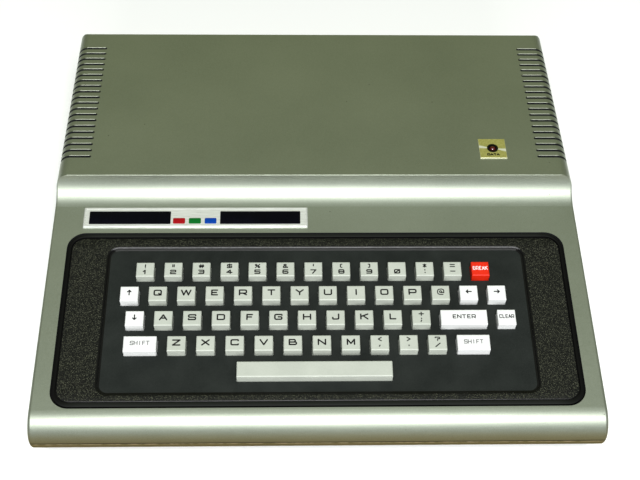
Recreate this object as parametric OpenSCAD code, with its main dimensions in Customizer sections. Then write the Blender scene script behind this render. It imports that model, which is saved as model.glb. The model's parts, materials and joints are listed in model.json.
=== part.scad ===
// Desk terminal: a full keyboard on a sloping deck in front of a raised rear deck.
// Origin at the centre of the footprint on the table, +X right, +Y rear, +Z up, in mm.

/* [Case] */
// Overall width of the case
body_w = 368; // [356:1:400]
// Overall depth of the case
body_d = 344; // [336:1:370]
// Height of the rear deck above the table
body_h = 89; // [86:0.5:94]
// Height of the seam between the two case halves
seam_z = 37.3; // [36:0.1:39]
// Thickness of the case walls
wall = 3; // [2.4:0.1:3.4]
// Lean of the upper case walls, in degrees
side_draft = 2; // [1:0.25:3]
// Lean of the lower case sides, in degrees
lower_draft = 6; // [2:0.5:8]
// Slope of the keyboard deck, in degrees
deck_tilt = 7.5; // [6.5:0.25:8.5]
// Radius of the round nose along the front
nose_r = 16; // [15:0.5:17]
// Lean of the chin below the nose, in degrees
chin_rake = 35; // [28:1:40]
// Depth of the flat rear deck
rear_deck_d = 158; // [152:1:162]
// Radius of the hollow step up to the rear deck
step_r = 20; // [16:0.5:24]
// Radius along the sides of the rear deck
hump_r = 8.5; // [6:0.5:11]
// Width of the narrow chamfer along the front edge of the rear deck
crest_bevel = 0.2; // [0.2:0.05:0.8]
// Radius along the sides of the keyboard deck
edge_r = 2.5; // [1:0.25:4]
// Radius of the rear top edge
corner_r = 2.6; // [1.5:0.1:4]
// Width and depth of the shadow groove along the seam
seam_groove = 0.6; // [0.3:0.1:1]
// Height of the locating lip above the seam
lip_h = 2.5; // [1.5:0.5:4]
// Thickness of the locating lip
lip_t = 1.3; // [1:0.1:2]
// Clearance between the lip and the upper case
lip_gap = 0.6; // [0.5:0.1:0.9]

/* [Vents] */
// Number of slots on each side
vent_count = 20; // [10:1:22]
// Distance between slots
vent_pitch = 6.25; // [5.5:0.05:6.5]
// Width of a slot
vent_w = 2.2; // [1.5:0.1:3.5]
// Width of the chamfer along the rear edge of a slot
vent_bevel = 0.2; // [0.2:0.1:1.2]
// Length of a slot on the rear deck, from the case side
vent_run = 23.2; // [16:0.1:30]
// Length of a slot down the case side
vent_fall = 15; // [10:0.5:20]
// Distance from the front of the rear deck to the first slot
vent_first = 18.5; // [14:0.5:24]
// Distance between the slots in the base
base_vent_pitch = 10; // [8:0.5:11]
// Length of the slots in the base
base_vent_l = 50; // [30:1:60]

/* [Bezel and panel] */
// Width of the black bezel
bezel_w = 342; // [336:1:346]
// Depth of the black bezel along the slope
bezel_d = 132.5; // [130:0.5:134]
// Corner radius of the bezel
bezel_r = 12; // [8:0.5:16]
// Distance from the nose to the bezel along the slope
bezel_front = 2.1; // [1.8:0.1:4]
// Width of the smooth rim round the bezel
rim_w = 4.5; // [3:0.1:6]
// Depth of the rim below the deck
rim_drop = 0.2; // [0.1:0.1:0.5]
// Depth of the grained field below the deck
field_drop = 0.9; // [0.6:0.1:1.4]
// Width of the groove between rim and field
rim_groove = 0.7; // [0.4:0.1:1.2]
// Gap between the bezel and the deck opening
bezel_gap = 0.45; // [0.3:0.05:0.8]
// Reach of the bezel flange under the deck
bezel_lap = 4; // [2:0.5:5]
// Reach of the bezel flange under the deck at the front
bezel_front_lap = 1.5; // [1:0.1:1.7]
// Width of the key panel that shows
panel_w = 282; // [280:0.5:288]
// Depth of the key panel that shows
panel_d = 108; // [106:0.2:110]
// Distance from the front of the bezel to the panel
panel_front = 11.5; // [11:0.5:13]
// Depth of the key panel below the deck
panel_drop = 2.3; // [2:0.1:3]
// Slope of the recess walls, as their width in plan
recess_slope = 1.2; // [0.5:0.1:2]
// Corner radius of the recess
recess_r = 5.5; // [2:0.5:6]
// Thickness of the key panel
panel_t = 2; // [1.6:0.1:2.4]
// Reach of the key panel under the bezel
panel_lap = 5; // [4:0.5:5.5]

/* [Keys] */
// Distance between keys and between rows
pitch = 18.95; // [18.8:0.05:19.2]
// Width of a single key cap
cap_w = 12.1; // [11:0.1:14]
// Depth of a key cap
cap_d = 11.7; // [11:0.1:13]
// Height of the key tops above the deck
cap_rise = 3.2; // [2.6:0.1:4]
// Set-back of the top edge on the sloping front of a cap
cap_slope = 0.4; // [0.2:0.1:1.8]
// Radius of the top edges of a cap
cap_edge_r = 0.8; // [0.3:0.1:1]
// Radius of the upright corners of a cap
cap_corner_r = 1; // [0.6:0.1:1.6]
// Gap between a cap and its hole
key_gap = 0.35; // [0.3:0.05:0.5]
// Key travel
travel = 3; // [2:0.1:3.4]
// Reach of the key's stop flange under the panel
stop_lap = 0.8; // [0.7:0.1:1.1]
// Thickness of the key's stop flange
stop_t = 1.2; // [0.8:0.1:1.6]
// Length of the space bar
space_len = 100.6; // [90:0.1:110]
// Centre of the space bar from the middle of the case
space_x = -2.8; // [-6:0.1:2]
// Centre of the first number key from the middle of the case
first_key_x = -116.3; // [-118:0.1:-115]
// Distance from the panel's rear edge to the number row
row_inset = 12.75; // [12:0.05:14]

/* [Keyboard base] */
// Room left in a rubber dome when its key is down
dome_rest = 0.6; // [0.4:0.1:1]
// Radius of a rubber dome at its foot
dome_r = 4; // [3:0.1:5]
// Radius of a rubber dome at its top
dome_top_r = 2.6; // [1.5:0.1:3]
// Thickness of the rubber sheet
sheet_t = 1; // [0.8:0.1:1.5]
// Margin of the rubber sheet inside the visible panel
sheet_margin = 3; // [2:0.5:5]
// Thickness of the circuit boards
board_t = 1.6; // [1.2:0.1:2]
// Margin of the keyboard board inside the bezel
key_board_margin = 4; // [3:0.5:6]
// Radius of the posts under the key panel
post_r = 1.8; // [1.5:0.1:2]
// Radius of the pillars that carry the keyboard
pillar_r = 5; // [4:0.5:6]

/* [Badge and lamp] */
// Length of the badge
badge_w = 156; // [140:1:160]
// Height of the badge along the slope
badge_d = 16.9; // [14:0.1:17]
// Thickness of the badge
badge_t = 1.6; // [1.4:0.1:2.6]
// Width of the bevel round the badge
badge_bevel = 0.8; // [0.6:0.1:1.4]
// Depth of the sunk face of the badge
badge_sink = 0.3; // [0.2:0.1:0.8]
// Width of the badge's raised rim
badge_rim = 1.8; // [1.5:0.1:2.6]
// Distance from the case side to the left end of the badge
badge_inset = 22; // [20:0.5:34]
// Gap between the bezel and the badge
badge_gap = 4.5; // [3:0.1:5]
// Side of the square lamp plate
lamp_plate_w = 19.5; // [18:0.5:22]
// Thickness of the lamp plate
lamp_plate_t = 0.8; // [0.5:0.1:1.2]
// Distance from the case side to the lamp
lamp_side = 55.9; // [49:0.1:74]
// Distance from the front of the rear deck to the lamp
lamp_inset = 26; // [20:0.5:40]
// Radius of the lamp
lamp_r = 2.5; // [1.5:0.1:2.6]
// Wall of the clip round the lamp
lamp_clip_t = 0.9; // [0.6:0.1:1.2]
// Reach of the clip's collar over the plate
lamp_collar = 0.5; // [0.4:0.1:1.4]
// Height of the clip's collar
lamp_collar_h = 0.5; // [0.4:0.1:1.4]
// Depth of the dome's centre below the face of the lamp plate
lamp_sink = 1.2; // [0.5:0.1:2]
// Clearance between lamp, clip and their holes
lamp_gap = 0.1; // [0.05:0.01:0.2]

/* [Rear connectors] */
// Centre of the connectors above the board
rear_axis_h = 9.5; // [9:0.25:11]
// Depth of the sunk field round the connectors
rear_sink = 0.8; // [0.4:0.1:1.2]
// Set-back of the connectors from the sunk field
rear_flush = 0.4; // [0.2:0.1:0.8]
// Clearance round the fixed connectors
rear_gap = 0.5; // [0.3:0.1:0.8]
// Width of the power button
button_w = 14; // [10:0.5:16]
// Height of the power button
button_h = 9; // [7:0.5:11]
// Travel of the power button
button_travel = 4; // [2:0.25:5]
// Gap round the power button
button_gap = 0.6; // [0.4:0.1:1]
// Centre of the power button from the middle of the case
button_x = -72; // [-76:0.5:-68]
// Width of the modulator box
modulator_w = 50; // [46:0.5:56]
// Depth of the modulator box
modulator_d = 38; // [30:0.5:44]
// Height of the modulator box
modulator_h = 19; // [17:0.5:20]
// Middle of the modulator box from the middle of the case
modulator_x = -20; // [-22:0.5:-16]
// Travel of the channel slider
slider_travel = 4; // [3:0.25:5]
// Width of the channel slider
slider_w = 5; // [4:0.25:6]
// Height of the channel slider
slider_h = 4; // [3:0.25:5]
// Outer radius of the aerial jack
jack_r = 4.15; // [3.8:0.05:4.4]
// Radius of the aerial jack's centre hole
jack_bore_r = 1.7; // [1.5:0.05:1.9]
// Room for a plug round the aerial jack
jack_room = 2.6; // [2:0.1:3.4]
// Width of the telephone jack
phone_w = 15; // [14:0.5:17]
// Height of the telephone jack
phone_h = 13; // [12:0.5:15]
// Depth of the telephone jack
phone_d = 19; // [16:0.5:22]
// Width of the telephone jack's mouth
mouth_w = 10; // [9.6:0.1:11]
// Height of the telephone jack's mouth
mouth_h = 7; // [6.6:0.1:8]
// Depth of the telephone jack's mouth
mouth_d = 13; // [11:0.5:14]
// Centre of the telephone jack from the middle of the case
phone_x = 60; // [50:0.5:66]
// Radius of the mains cord hole in the gland
gland_bore_r = 3.5; // [3:0.1:4]
// Wall of the gland in the case
gland_t = 2.5; // [2:0.1:3.5]
// Reach of the gland's collar behind the case wall
gland_collar = 1.6; // [1:0.1:2.5]
// Depth of the gland behind the case wall
gland_d = 5; // [4:0.5:8]
// Distance from the case side to the gland
gland_side = 44; // [39:0.5:54]

/* [Inside] */
// Height of the standoffs on the case floor
standoff_h = 7; // [6:0.25:8]
// Radius of the standoffs
standoff_r = 4; // [3.2:0.1:4.5]
// Width of the main board
main_w = 250; // [246:1:254]
// Depth of the main board
main_d = 200; // [196:1:204]
// Gap between the main board and the rear wall
main_rear_gap = 9; // [8:0.5:12]
// Middle of the main board from the middle of the case
main_x = 33; // [30:0.5:34]
// Inset of the board's screws from its edges
main_screw_inset = 6; // [5:0.5:7]
// Distance from the main board's right edge to the shield can
shield_inset = 40; // [36:1:44]
// Width of the shield can
shield_w = 150; // [140:1:160]
// Depth of the shield can
shield_d = 110; // [100:1:114]
// Height of the shield can
shield_h = 20; // [16:0.5:24]
// Sheet thickness of the shield can
shield_t = 0.8; // [0.5:0.1:1.2]
// Radius of the holes in the shield can
shield_hole_r = 2.2; // [1.5:0.1:3]
// Radius of the filter capacitor
cap_can_r = 11; // [9:0.5:12.5]
// Height of the filter capacitor
cap_can_h = 38; // [30:1:46]
// Width of the heat sink
sink_w = 36; // [30:1:40]
// Depth of the heat sink
sink_d = 20; // [16:0.5:24]
// Height of the heat sink
sink_h = 32; // [24:1:40]
// Thickness of a heat sink fin
fin_t = 1.6; // [1.2:0.1:2.2]
// Number of heat sink fins
fin_count = 7; // [5:1:8]
// Length of the mains transformer core
core_l = 64; // [56:1:70]
// Thickness of the mains transformer core
core_t = 26; // [22:1:30]
// Height of the mains transformer core
core_h = 52; // [44:1:56]
// Thickness of the winding beyond the core
coil_swell = 10; // [6:0.5:12]
// Distance from the case side to the middle of the mains transformer
transformer_side = 50; // [46:0.5:54]
// Distance from the rear wall to the middle of the mains transformer
transformer_inset = 92; // [86:1:100]
// Width of the telephone line transformer
line_w = 24; // [20:0.5:28]
// Depth of the telephone line transformer
line_d = 20; // [16:0.5:24]
// Height of the telephone line transformer
line_h = 17; // [14:0.5:20]
// Width of the keyboard ribbon
ribbon_w = 40; // [30:1:50]
// Thickness of the keyboard ribbon
ribbon_t = 1; // [0.8:0.1:1.4]
// Height of the ribbon's plugs
plug_h = 6; // [4:0.5:8]
// Depth of the ribbon's plugs
plug_d = 6; // [5:0.5:8]

/* [Feet and screws] */
// Radius of the rubber feet
foot_r = 7; // [5:0.5:9]
// Height of the rubber feet below the case
foot_h = 4; // [3:0.5:5]
// Depth of the feet's seats in the base
foot_seat = 1; // [0.5:0.1:1.5]
// Clearance of the feet in their seats
foot_gap = 0.1; // [0.05:0.05:0.3]
// Inset of the feet from the case sides
foot_inset_x = 30; // [24:1:40]
// Inset of the rear feet from the rear wall
foot_inset_rear = 22; // [18:1:40]
// Inset of the front feet from the front of the nose
foot_inset_front = 40; // [36:1:50]
// Radius of a screw's shank
screw_r = 1.5; // [1.25:0.05:1.75]
// Length of a screw's shank, and the depth of its pilot hole
screw_len = 7; // [6:0.1:7.4]
// Radius of a screw's head
head_r = 3; // [2.5:0.1:3.2]
// Height of a screw's head
head_h = 2; // [1.6:0.1:2.4]
// Clearance of a screw in its pilot hole
pilot_gap = 0.05; // [0.02:0.01:0.1]
// Clearance of a screw in a through hole
through_gap = 0.3; // [0.2:0.05:0.4]
// Radius of the case posts
case_post_r = 5; // [4.6:0.1:6]
// Inset of the case posts from the case sides
case_post_x = 16; // [15:0.5:18]
// Inset of the rear case posts from the rear wall
case_post_rear = 12; // [11:0.5:13]
// Inset of the front case posts behind the rear deck's front edge
case_post_front = -8; // [-10:0.5:0]
// Thickness of a case post under its screw
case_post_web = 3.6; // [3:0.1:4]

/* [Hidden] */
$fn = 64;
eps = 0.01;
far = 500;
// Overlap of round and flat stretches where they run into each other
weld = 0.01;
// Least radius of the edges inside the case
inner_r = 0.4;
letters = "qwertyuiopasdfghjklzxcvbnm";
structure = [
    "upper_case", "lower_case", "keyboard_bezel", "keyboard_panel", "dome_sheet", "keyboard_board",
    "ribbon_cable", "badge_plate", "lamp_plate", "lamp_clip", "data_lamp", "main_board",
    "logic_chips", "shield_can", "rf_modulator", "channel_slider", "power_switch", "power_button",
    "transformer", "filter_capacitor", "heat_sink", "line_transformer", "phone_jack", "cord_gland",
    "rubber_feet", "screws",
];
key_sets = [
    "digit_keys", "sign_keys", "arrow_keys", "shift_keys",
    "break_key", "enter_key", "clear_key", "space_bar",
];

// Case landmarks in the plane across X: [y, z]
half_w = body_w / 2;
front_y = -body_d / 2;
rear_y = body_d / 2;
rear_in_y = rear_y - wall;
base_z = foot_h;
floor_z = base_z + wall;
nose_y = front_y + nose_r;
deck_y = nose_y - nose_r * sin(deck_tilt);
deck_z = seam_z + nose_r * cos(deck_tilt);
step_edge_y = rear_y - rear_deck_d;
step_edge_v = (step_edge_y - deck_y) * cos(deck_tilt) + (body_h - deck_z) * sin(deck_tilt);
step_edge_w = (body_h - deck_z) * cos(deck_tilt) - (step_edge_y - deck_y) * sin(deck_tilt);
step_v = step_edge_v - sqrt(step_r ^ 2 - (step_r - weld - step_edge_w) ^ 2);
deck_normal = [-sin(deck_tilt), cos(deck_tilt)];
step_y = deck_y + step_v * cos(deck_tilt) - (step_r - weld) * sin(deck_tilt);
step_z = deck_z + step_v * sin(deck_tilt) + (step_r - weld) * cos(deck_tilt);

// Keyboard landmarks on the deck: v runs up the slope from the nose, w rises from the deck
bezel_v = bezel_front + bezel_d / 2;
panel_v = bezel_front + panel_front + panel_d / 2;
panel_bottom = -panel_drop - panel_t;
key_bottom = panel_bottom - stop_t;
dome_h = travel + dome_rest;
sheet_top = key_bottom - dome_h;
key_board_top = sheet_top - sheet_t;
key_board_bottom = key_board_top - board_t;
row_v = panel_v + panel_d / 2 - row_inset - cap_d / 2;
key_board_w = bezel_w - 2 * key_board_margin;
key_board_d = bezel_d - 2 * key_board_margin;
key_screw_x = (bezel_w / 2 - rim_w + panel_w / 2 + panel_lap) / 2;
key_screw_step = bezel_d / 2 - 3 * rim_w;
key_screws = [for (x = [-1, 1], v = [-1, 0, 1]) [x * key_screw_x, bezel_v + v * key_screw_step]];
panel_post_x = panel_w / 2 + panel_lap - post_r - key_gap;
pillar_x = (panel_w / 2 + key_screw_x) / 2;
pillar_step = key_screw_step / 2;

// Key columns in pitches from the first number key, and the key rows from the rear
number_row = [for (i = [0 : 9]) [i, 0]];
letter_rows = ["qwertyuiop", "asdfghjkl", "zxcvbnm"];
letter_start = [0.5, 0.75, 1.25];
sign_places = [[10, 0], [11, 0], [10.5, 1], [9.75, 2], [8.25, 3], [9.25, 3], [10.25, 3]];
arrow_places = [[-0.5, 1], [11.5, 1], [12.5, 1], [-0.25, 2]];
shift_places = [[0, 3], [11.5, 3]];
break_place = [12, 0];
enter_place = [11.25, 2];
clear_place = [12.75, 2];
space_row = 4;
shift_w = cap_w + pitch / 2;
enter_w = cap_w + pitch;
space_place = [(space_x - first_key_x) / pitch, space_row];
single_places = concat(
    number_row, sign_places, arrow_places, [break_place, clear_place],
    [for (row = [0 : 2], i = [0 : len(letter_rows[row]) - 1]) [letter_start[row] + i, row + 1]]
);
wide_keys = concat(
    [for (place = shift_places) [place, shift_w]],
    [[enter_place, enter_w], [space_place, space_len]]
);
all_keys = concat([for (place = single_places) [place, cap_w]], wide_keys);

// Badge and lamp
badge_v = bezel_front + bezel_d + badge_gap + badge_d / 2;
badge_mid_x = -half_w + badge_inset + badge_w / 2;
lamp_x = half_w - lamp_side;
lamp_y = step_edge_y + lamp_inset;
clip_r = lamp_r + lamp_gap + lamp_clip_t;
collar_z = body_h + lamp_plate_t;
dome_z = collar_z - lamp_sink;
clip_bottom = body_h - wall - 3 * lamp_r;

// Inside landmarks
board_z = floor_z + standoff_h;
board_top = board_z + board_t;
main_rear_y = rear_in_y - main_rear_gap;
main_y = main_rear_y - main_d / 2;
rear_axis_z = board_top + rear_axis_h;
rear_field_y = rear_y - rear_sink;
rear_flush_y = rear_field_y - rear_flush;
button_head_y = rear_in_y - 1.5 * button_travel;
switch_rear_y = button_head_y - button_travel - button_gap;
switch_d = 5 * button_travel;
stem_w = button_h - 3;
stem_d = 2 * button_travel;
modulator_rear_y = rear_in_y - lip_t - 2 * lip_gap;
slider_x = modulator_x - modulator_w / 4;
jack_x = modulator_x + modulator_w / 4;
slider_room = 0.3;
slider_lip = 1;
slider_foot_w = slider_w + 2 * slider_lip;
slider_foot_h = slider_h + 2 * slider_lip;
slider_foot_d = 2 * slider_lip;
gland_x = -half_w + gland_side;
gland_z = rear_axis_z;
transformer_x = -half_w + transformer_side;
transformer_y = rear_in_y - transformer_inset;
foot_l = core_l + 8 * head_r;
transformer_screws = [
    for (s = [-1, 1]) [transformer_x, transformer_y + s * (foot_l / 2 - 1.5 * head_r)]
];
main_screws = [
    for (sx = [-1, 1], sy = [-1, 1])
        [main_x + sx * (main_w / 2 - main_screw_inset), main_y + sy * (main_d / 2 - main_screw_inset)]
];
board_screws = concat(main_screws, transformer_screws);
case_post_ys = [step_edge_y + case_post_front, rear_y - case_post_rear];
case_posts = [for (sx = [-1, 1], y = case_post_ys) [sx * (half_w - case_post_x), y]];
case_seat_z = seam_z - case_post_web;
ribbon_x = main_x;
ribbon_y = main_y - main_d / 2 + 2 * plug_d;
ribbon_v = bezel_v + key_board_d / 2 - 1.5 * plug_d;
feet = [
    for (sx = [-1, 1], y = [front_y + foot_inset_front, rear_y - foot_inset_rear])
        [sx * (half_w - foot_inset_x), y]
];
shield_x = main_x + main_w / 2 - shield_w / 2 - shield_inset;
shield_y = main_y - main_d / 2 + 3 * plug_d + shield_d / 2;
capacitor_x = button_x;
capacitor_y = switch_rear_y - switch_d - 2 * cap_can_r;
sink_x = button_x + (sink_w - 2 * standoff_r) / 4;
sink_y = capacitor_y - 2 * cap_can_r - sink_d;
phone_front_y = rear_flush_y - phone_d;
line_x = phone_x;
line_y = phone_front_y - line_d;

// Places its children on the deck, with v along Y and w along Z
module on_deck(x = 0, v = 0)
    translate([0, deck_y, deck_z]) rotate([deck_tilt, 0, 0]) translate([x, v, 0]) children();

// Turns a [y, z] outline into a prism across the case
module across(width) rotate([90, 0, 90]) linear_extrude(width, center = true) children();

// Turns an [x, z] outline into a prism along the case
module along(y0, y1) translate([0, y1, 0]) rotate([90, 0, 0]) linear_extrude(y1 - y0) children();

module round_rect(w, d, r) {
    square([w - 2 * r, d], center = true);
    square([w, d - 2 * r], center = true);
    for (sx = [-1, 1], sy = [-1, 1]) translate([sx * (w / 2 - r), sy * (d / 2 - r)]) circle(r);
}

// A rounded plate from height w0 to w1
module slab(w, d, r, w0, w1) translate([0, 0, w0]) linear_extrude(w1 - w0) round_rect(w, d, r);

module tube(r_out, r_in, h) difference() {
    cylinder(r = r_out, h = h);
    translate([0, 0, -eps]) cylinder(r = r_in, h = h + 2 * eps);
}

// Half the case section with a leaning side and a round corner, x from the middle outwards.
// The side leans inwards by lean degrees as it rises from 0 to the corner at height top.
module leaning_half(w, top, lean, r) {
    corner_x = w - (top - r) * tan(lean) - r / cos(lean);
    polygon([
        [0, 0], [w, 0], [corner_x + r * cos(lean), top - r + r * sin(lean)], [corner_x, top], [0, top],
    ]);
    translate([corner_x, top - r]) circle(r + weld);
}

module leaning_section(w, top, lean, r) {
    leaning_half(w, top, lean, r);
    mirror([1, 0]) leaning_half(w, top, lean, r);
}

// The nose as a round bar with rounded ends, shrunk by inset
module nose_bar(inset) {
    r = nose_r - inset + weld;
    w = half_w - inset;
    end_r = max(edge_r - inset, inner_r);
    translate([0, nose_y, seam_z]) rotate([0, 90, 0]) rotate_extrude() {
        translate([0, -w + end_r]) square([r, 2 * (w - end_r)]);
        translate([0, -w]) square([r - end_r, 2 * w]);
        for (s = [-1, 1]) translate([r - end_r, s * (w - end_r)]) circle(end_r + weld);
    }
}

// The hollow of the step as a bar that flares at its ends, grown by inset
module step_bar(inset) translate([0, step_y, step_z]) rotate([0, 90, 0]) rotate_extrude() {
    r = step_r + inset;
    flare = max(edge_r - inset, inner_r);
    translate([0, -half_w - 1]) square([r, body_w + 2]);
    for (s = [0, 1]) mirror([0, s]) difference() {
        translate([r - 1, half_w - flare]) square([flare + 1, flare + 1]);
        translate([r + flare, half_w - flare]) circle(flare - weld);
    }
}

// The keyboard deck from the nose back to the step
module deck_block(inset) {
    depth = nose_r + rear_deck_d;
    w = body_w - 2 * inset;
    r = max(edge_r - inset, inner_r);
    on_deck() along(0, step_v + step_r / 4) translate([0, -inset - depth / 2]) {
        round_rect(w, depth, r);
        for (s = [-1, 1]) translate([s * (w / 2 - r), depth / 2 - r]) circle(r + weld);
    }
}

// The rear deck with its rounded rear edge and the hollow step in front
module hump_block(inset) {
    top = body_h - inset;
    rear = rear_y - inset;
    lean = (top - seam_z) * tan(side_draft);
    r = max(corner_r - inset, 0);
    foot = [deck_y + step_v * cos(deck_tilt), deck_z + step_v * sin(deck_tilt)] - inset * deck_normal;
    sole_y = foot[0] + (foot[1] - seam_z) * tan(deck_tilt);
    edge_y = step_y + sqrt((step_r + inset) ^ 2 - (top - step_z) ^ 2);
    half_turn = (90 - atan2(step_z - top, edge_y - step_y)) / 2;
    crest_sink = crest_bevel / 2 * tan(half_turn);
    rear_top = r > 0
        ? [[rear - lean + r * tan(side_draft), top - r], [rear - lean - r, top]]
        : [[rear - lean, top]];
    difference() {
        across(body_w) {
            polygon(concat([foot, [sole_y, seam_z], [rear, seam_z]], rear_top, [[edge_y, top]]));
            if (r > 0) translate([rear - lean - r / cos(side_draft) + r * tan(side_draft), top - r])
                circle(r + weld);
        }
        step_bar(inset);
        across(body_w + 2) translate([edge_y, top]) rotate(half_turn)
            translate([-crest_bevel, -crest_sink]) square(2 * crest_bevel);
    }
}

// The upper case as a solid, shrunk by inset
module upper_form(inset = 0) intersection() {
    union() {
        nose_bar(inset);
        deck_block(inset);
        hump_block(inset);
    }
    translate([0, 0, seam_z]) along(front_y - 1, rear_y + 1)
        leaning_section(half_w - inset, body_h - inset - seam_z, side_draft, hump_r - inset);
}

// The lower case as a solid, shrunk by inset
module lower_form(inset = 0) {
    r = nose_r - inset;
    turn = [nose_y - r * cos(chin_rake), seam_z - r * sin(chin_rake)];
    low = base_z + inset;
    heel_y = turn[0] + (turn[1] - low) * tan(chin_rake);
    intersection() {
        union() {
            nose_bar(inset);
            across(body_w) polygon([
                [nose_y, seam_z], turn, [heel_y, low], [rear_y - inset, low], [rear_y - inset, seam_z],
            ]);
        }
        translate([0, 0, seam_z]) mirror([0, 0, 1]) along(front_y - 1, rear_y + 1)
            leaning_section(half_w - inset, seam_z - low, lower_draft, hump_r - inset);
    }
}

// A band that follows the plan of the case at the seam, between two insets
module plan_band(inset0, inset1, z0, z1) translate([0, 0, z0]) linear_extrude(z1 - z0) difference() {
    square([body_w - 2 * inset0, body_d - 2 * inset0], center = true);
    square([body_w - 2 * inset1, body_d - 2 * inset1], center = true);
}

// Everything above the seam
module above_seam() translate([-far, -far, seam_z]) cube([2 * far, 2 * far, far]);

// Everything below a height
module below(z) translate([-far, -far, z - far]) cube([2 * far, 2 * far, far]);

module vent_slots() for (side = [0, 1], i = [0 : vent_count - 1])
    mirror([side, 0, 0]) translate([half_w - vent_run, step_edge_y + vent_first + i * vent_pitch, 0]) {
        translate([0, -vent_w / 2, body_h - vent_fall]) cube([vent_run + 1, vent_w, vent_fall + 1]);
        translate([0, 0, body_h - 2 * wall]) cylinder(d = vent_w, h = 2 * wall + 1);
        translate([(vent_run + vent_bevel) / 2, vent_w / 2, body_h]) across(vent_run) polygon([
            [-vent_bevel, -2 * vent_bevel], [2 * vent_bevel, vent_bevel], [-vent_bevel, vent_bevel],
        ]);
    }

module upper_case() color("#8b9180") difference() {
    union() {
        difference() {
            intersection() {
                upper_form();
                above_seam();
            }
            upper_form(wall);
        }
        intersection() {
            for (p = case_posts) translate([p[0], p[1], seam_z])
                cylinder(r = case_post_r, h = body_h - seam_z);
            upper_form(wall / 2);
        }
    }
    on_deck(0, bezel_v)
        slab(bezel_w + 2 * bezel_gap, bezel_d + 2 * bezel_gap, bezel_r + bezel_gap, -2 * wall, 2 * wall);
    vent_slots();
    for (p = case_posts) translate([p[0], p[1], seam_z - eps])
        cylinder(r = screw_r + pilot_gap, h = screw_len);
    translate([lamp_x, lamp_y, body_h - 2 * wall]) cylinder(r = clip_r + lamp_gap, h = 3 * wall);
}

// The connectors' openings in the rear wall
module rear_openings() {
    translate([button_x - button_w, rear_field_y, rear_axis_z - phone_h / 2 - 2 * rear_gap])
        cube([phone_x + phone_w - button_x + button_w, 2 * rear_sink, phone_h + 4 * rear_gap]);
    rear_window(button_x, button_w + 2 * button_gap, button_h + 2 * button_gap);
    rear_window(phone_x, phone_w + 2 * rear_gap, phone_h + 2 * rear_gap);
    rear_window(slider_x + slider_travel / 2, slider_w + slider_travel + 2 * rear_gap,
        slider_h + 2 * rear_gap);
    translate([jack_x, rear_in_y - wall, rear_axis_z]) rotate([-90, 0, 0])
        cylinder(r = jack_r + jack_room, h = 3 * wall);
    translate([gland_x, rear_in_y - wall, gland_z]) rotate([-90, 0, 0])
        cylinder(r = gland_bore_r + gland_t + rear_gap / 2, h = 3 * wall);
}

module rear_window(x, w, h) translate([x - w / 2, rear_in_y - 2 * wall, rear_axis_z - h / 2])
    cube([w, 4 * wall, h]);

// The pillars under the keyboard, cut to the slope of its board
module keyboard_pillars() intersection() {
    for (sx = [-1, 1], sv = [-1, 1]) translate([
        sx * pillar_x, deck_y + (bezel_v + sv * pillar_step) * cos(deck_tilt), base_z + wall / 2,
    ]) cylinder(r = pillar_r, h = body_h);
    on_deck() translate([-far, -far, key_board_bottom - far]) cube([2 * far, 2 * far, far]);
}

// Two fields of slots in the base, under the main board
module bottom_vents() for (sx = [-1, 1], i = [-5 : 5]) translate([
    main_x + sx * main_w / 4 + i * base_vent_pitch - vent_w / 2, main_y - base_vent_l / 2, base_z - 1,
]) cube([vent_w, base_vent_l, wall + 2]);

module lower_case() color("#858b7b") difference() {
    union() {
        difference() {
            union() {
                intersection() {
                    lower_form();
                    below(seam_z - seam_groove);
                }
                intersection() {
                    lower_form(seam_groove);
                    translate([-far, -far, floor_z]) cube([2 * far, 2 * far, seam_z - floor_z]);
                }
            }
            lower_form(wall);
        }
        plan_band(wall - seam_groove, wall + lip_gap + lip_t, seam_z - lip_h, seam_z);
        plan_band(wall + lip_gap, wall + lip_gap + lip_t, seam_z - lip_h, seam_z + lip_h);
        intersection() {
            for (p = case_posts) translate([p[0], p[1], base_z])
                cylinder(r = case_post_r, h = seam_z - base_z);
            lower_form(wall / 2);
        }
        for (p = board_screws) translate([p[0], p[1], base_z + wall / 2])
            cylinder(r = standoff_r, h = board_z - base_z - wall / 2);
        keyboard_pillars();
    }
    for (p = case_posts) translate([p[0], p[1], base_z - 1]) {
        cylinder(r = head_r + through_gap, h = case_seat_z - base_z + 1);
        cylinder(r = screw_r + through_gap, h = body_h);
    }
    for (p = board_screws) translate([p[0], p[1], board_z - screw_len])
        cylinder(r = screw_r + pilot_gap, h = screw_len + 1);
    for (p = feet) translate([p[0], p[1], base_z - 1]) cylinder(r = foot_r + foot_gap, h = foot_seat + 1);
    rear_openings();
    bottom_vents();
}

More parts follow.
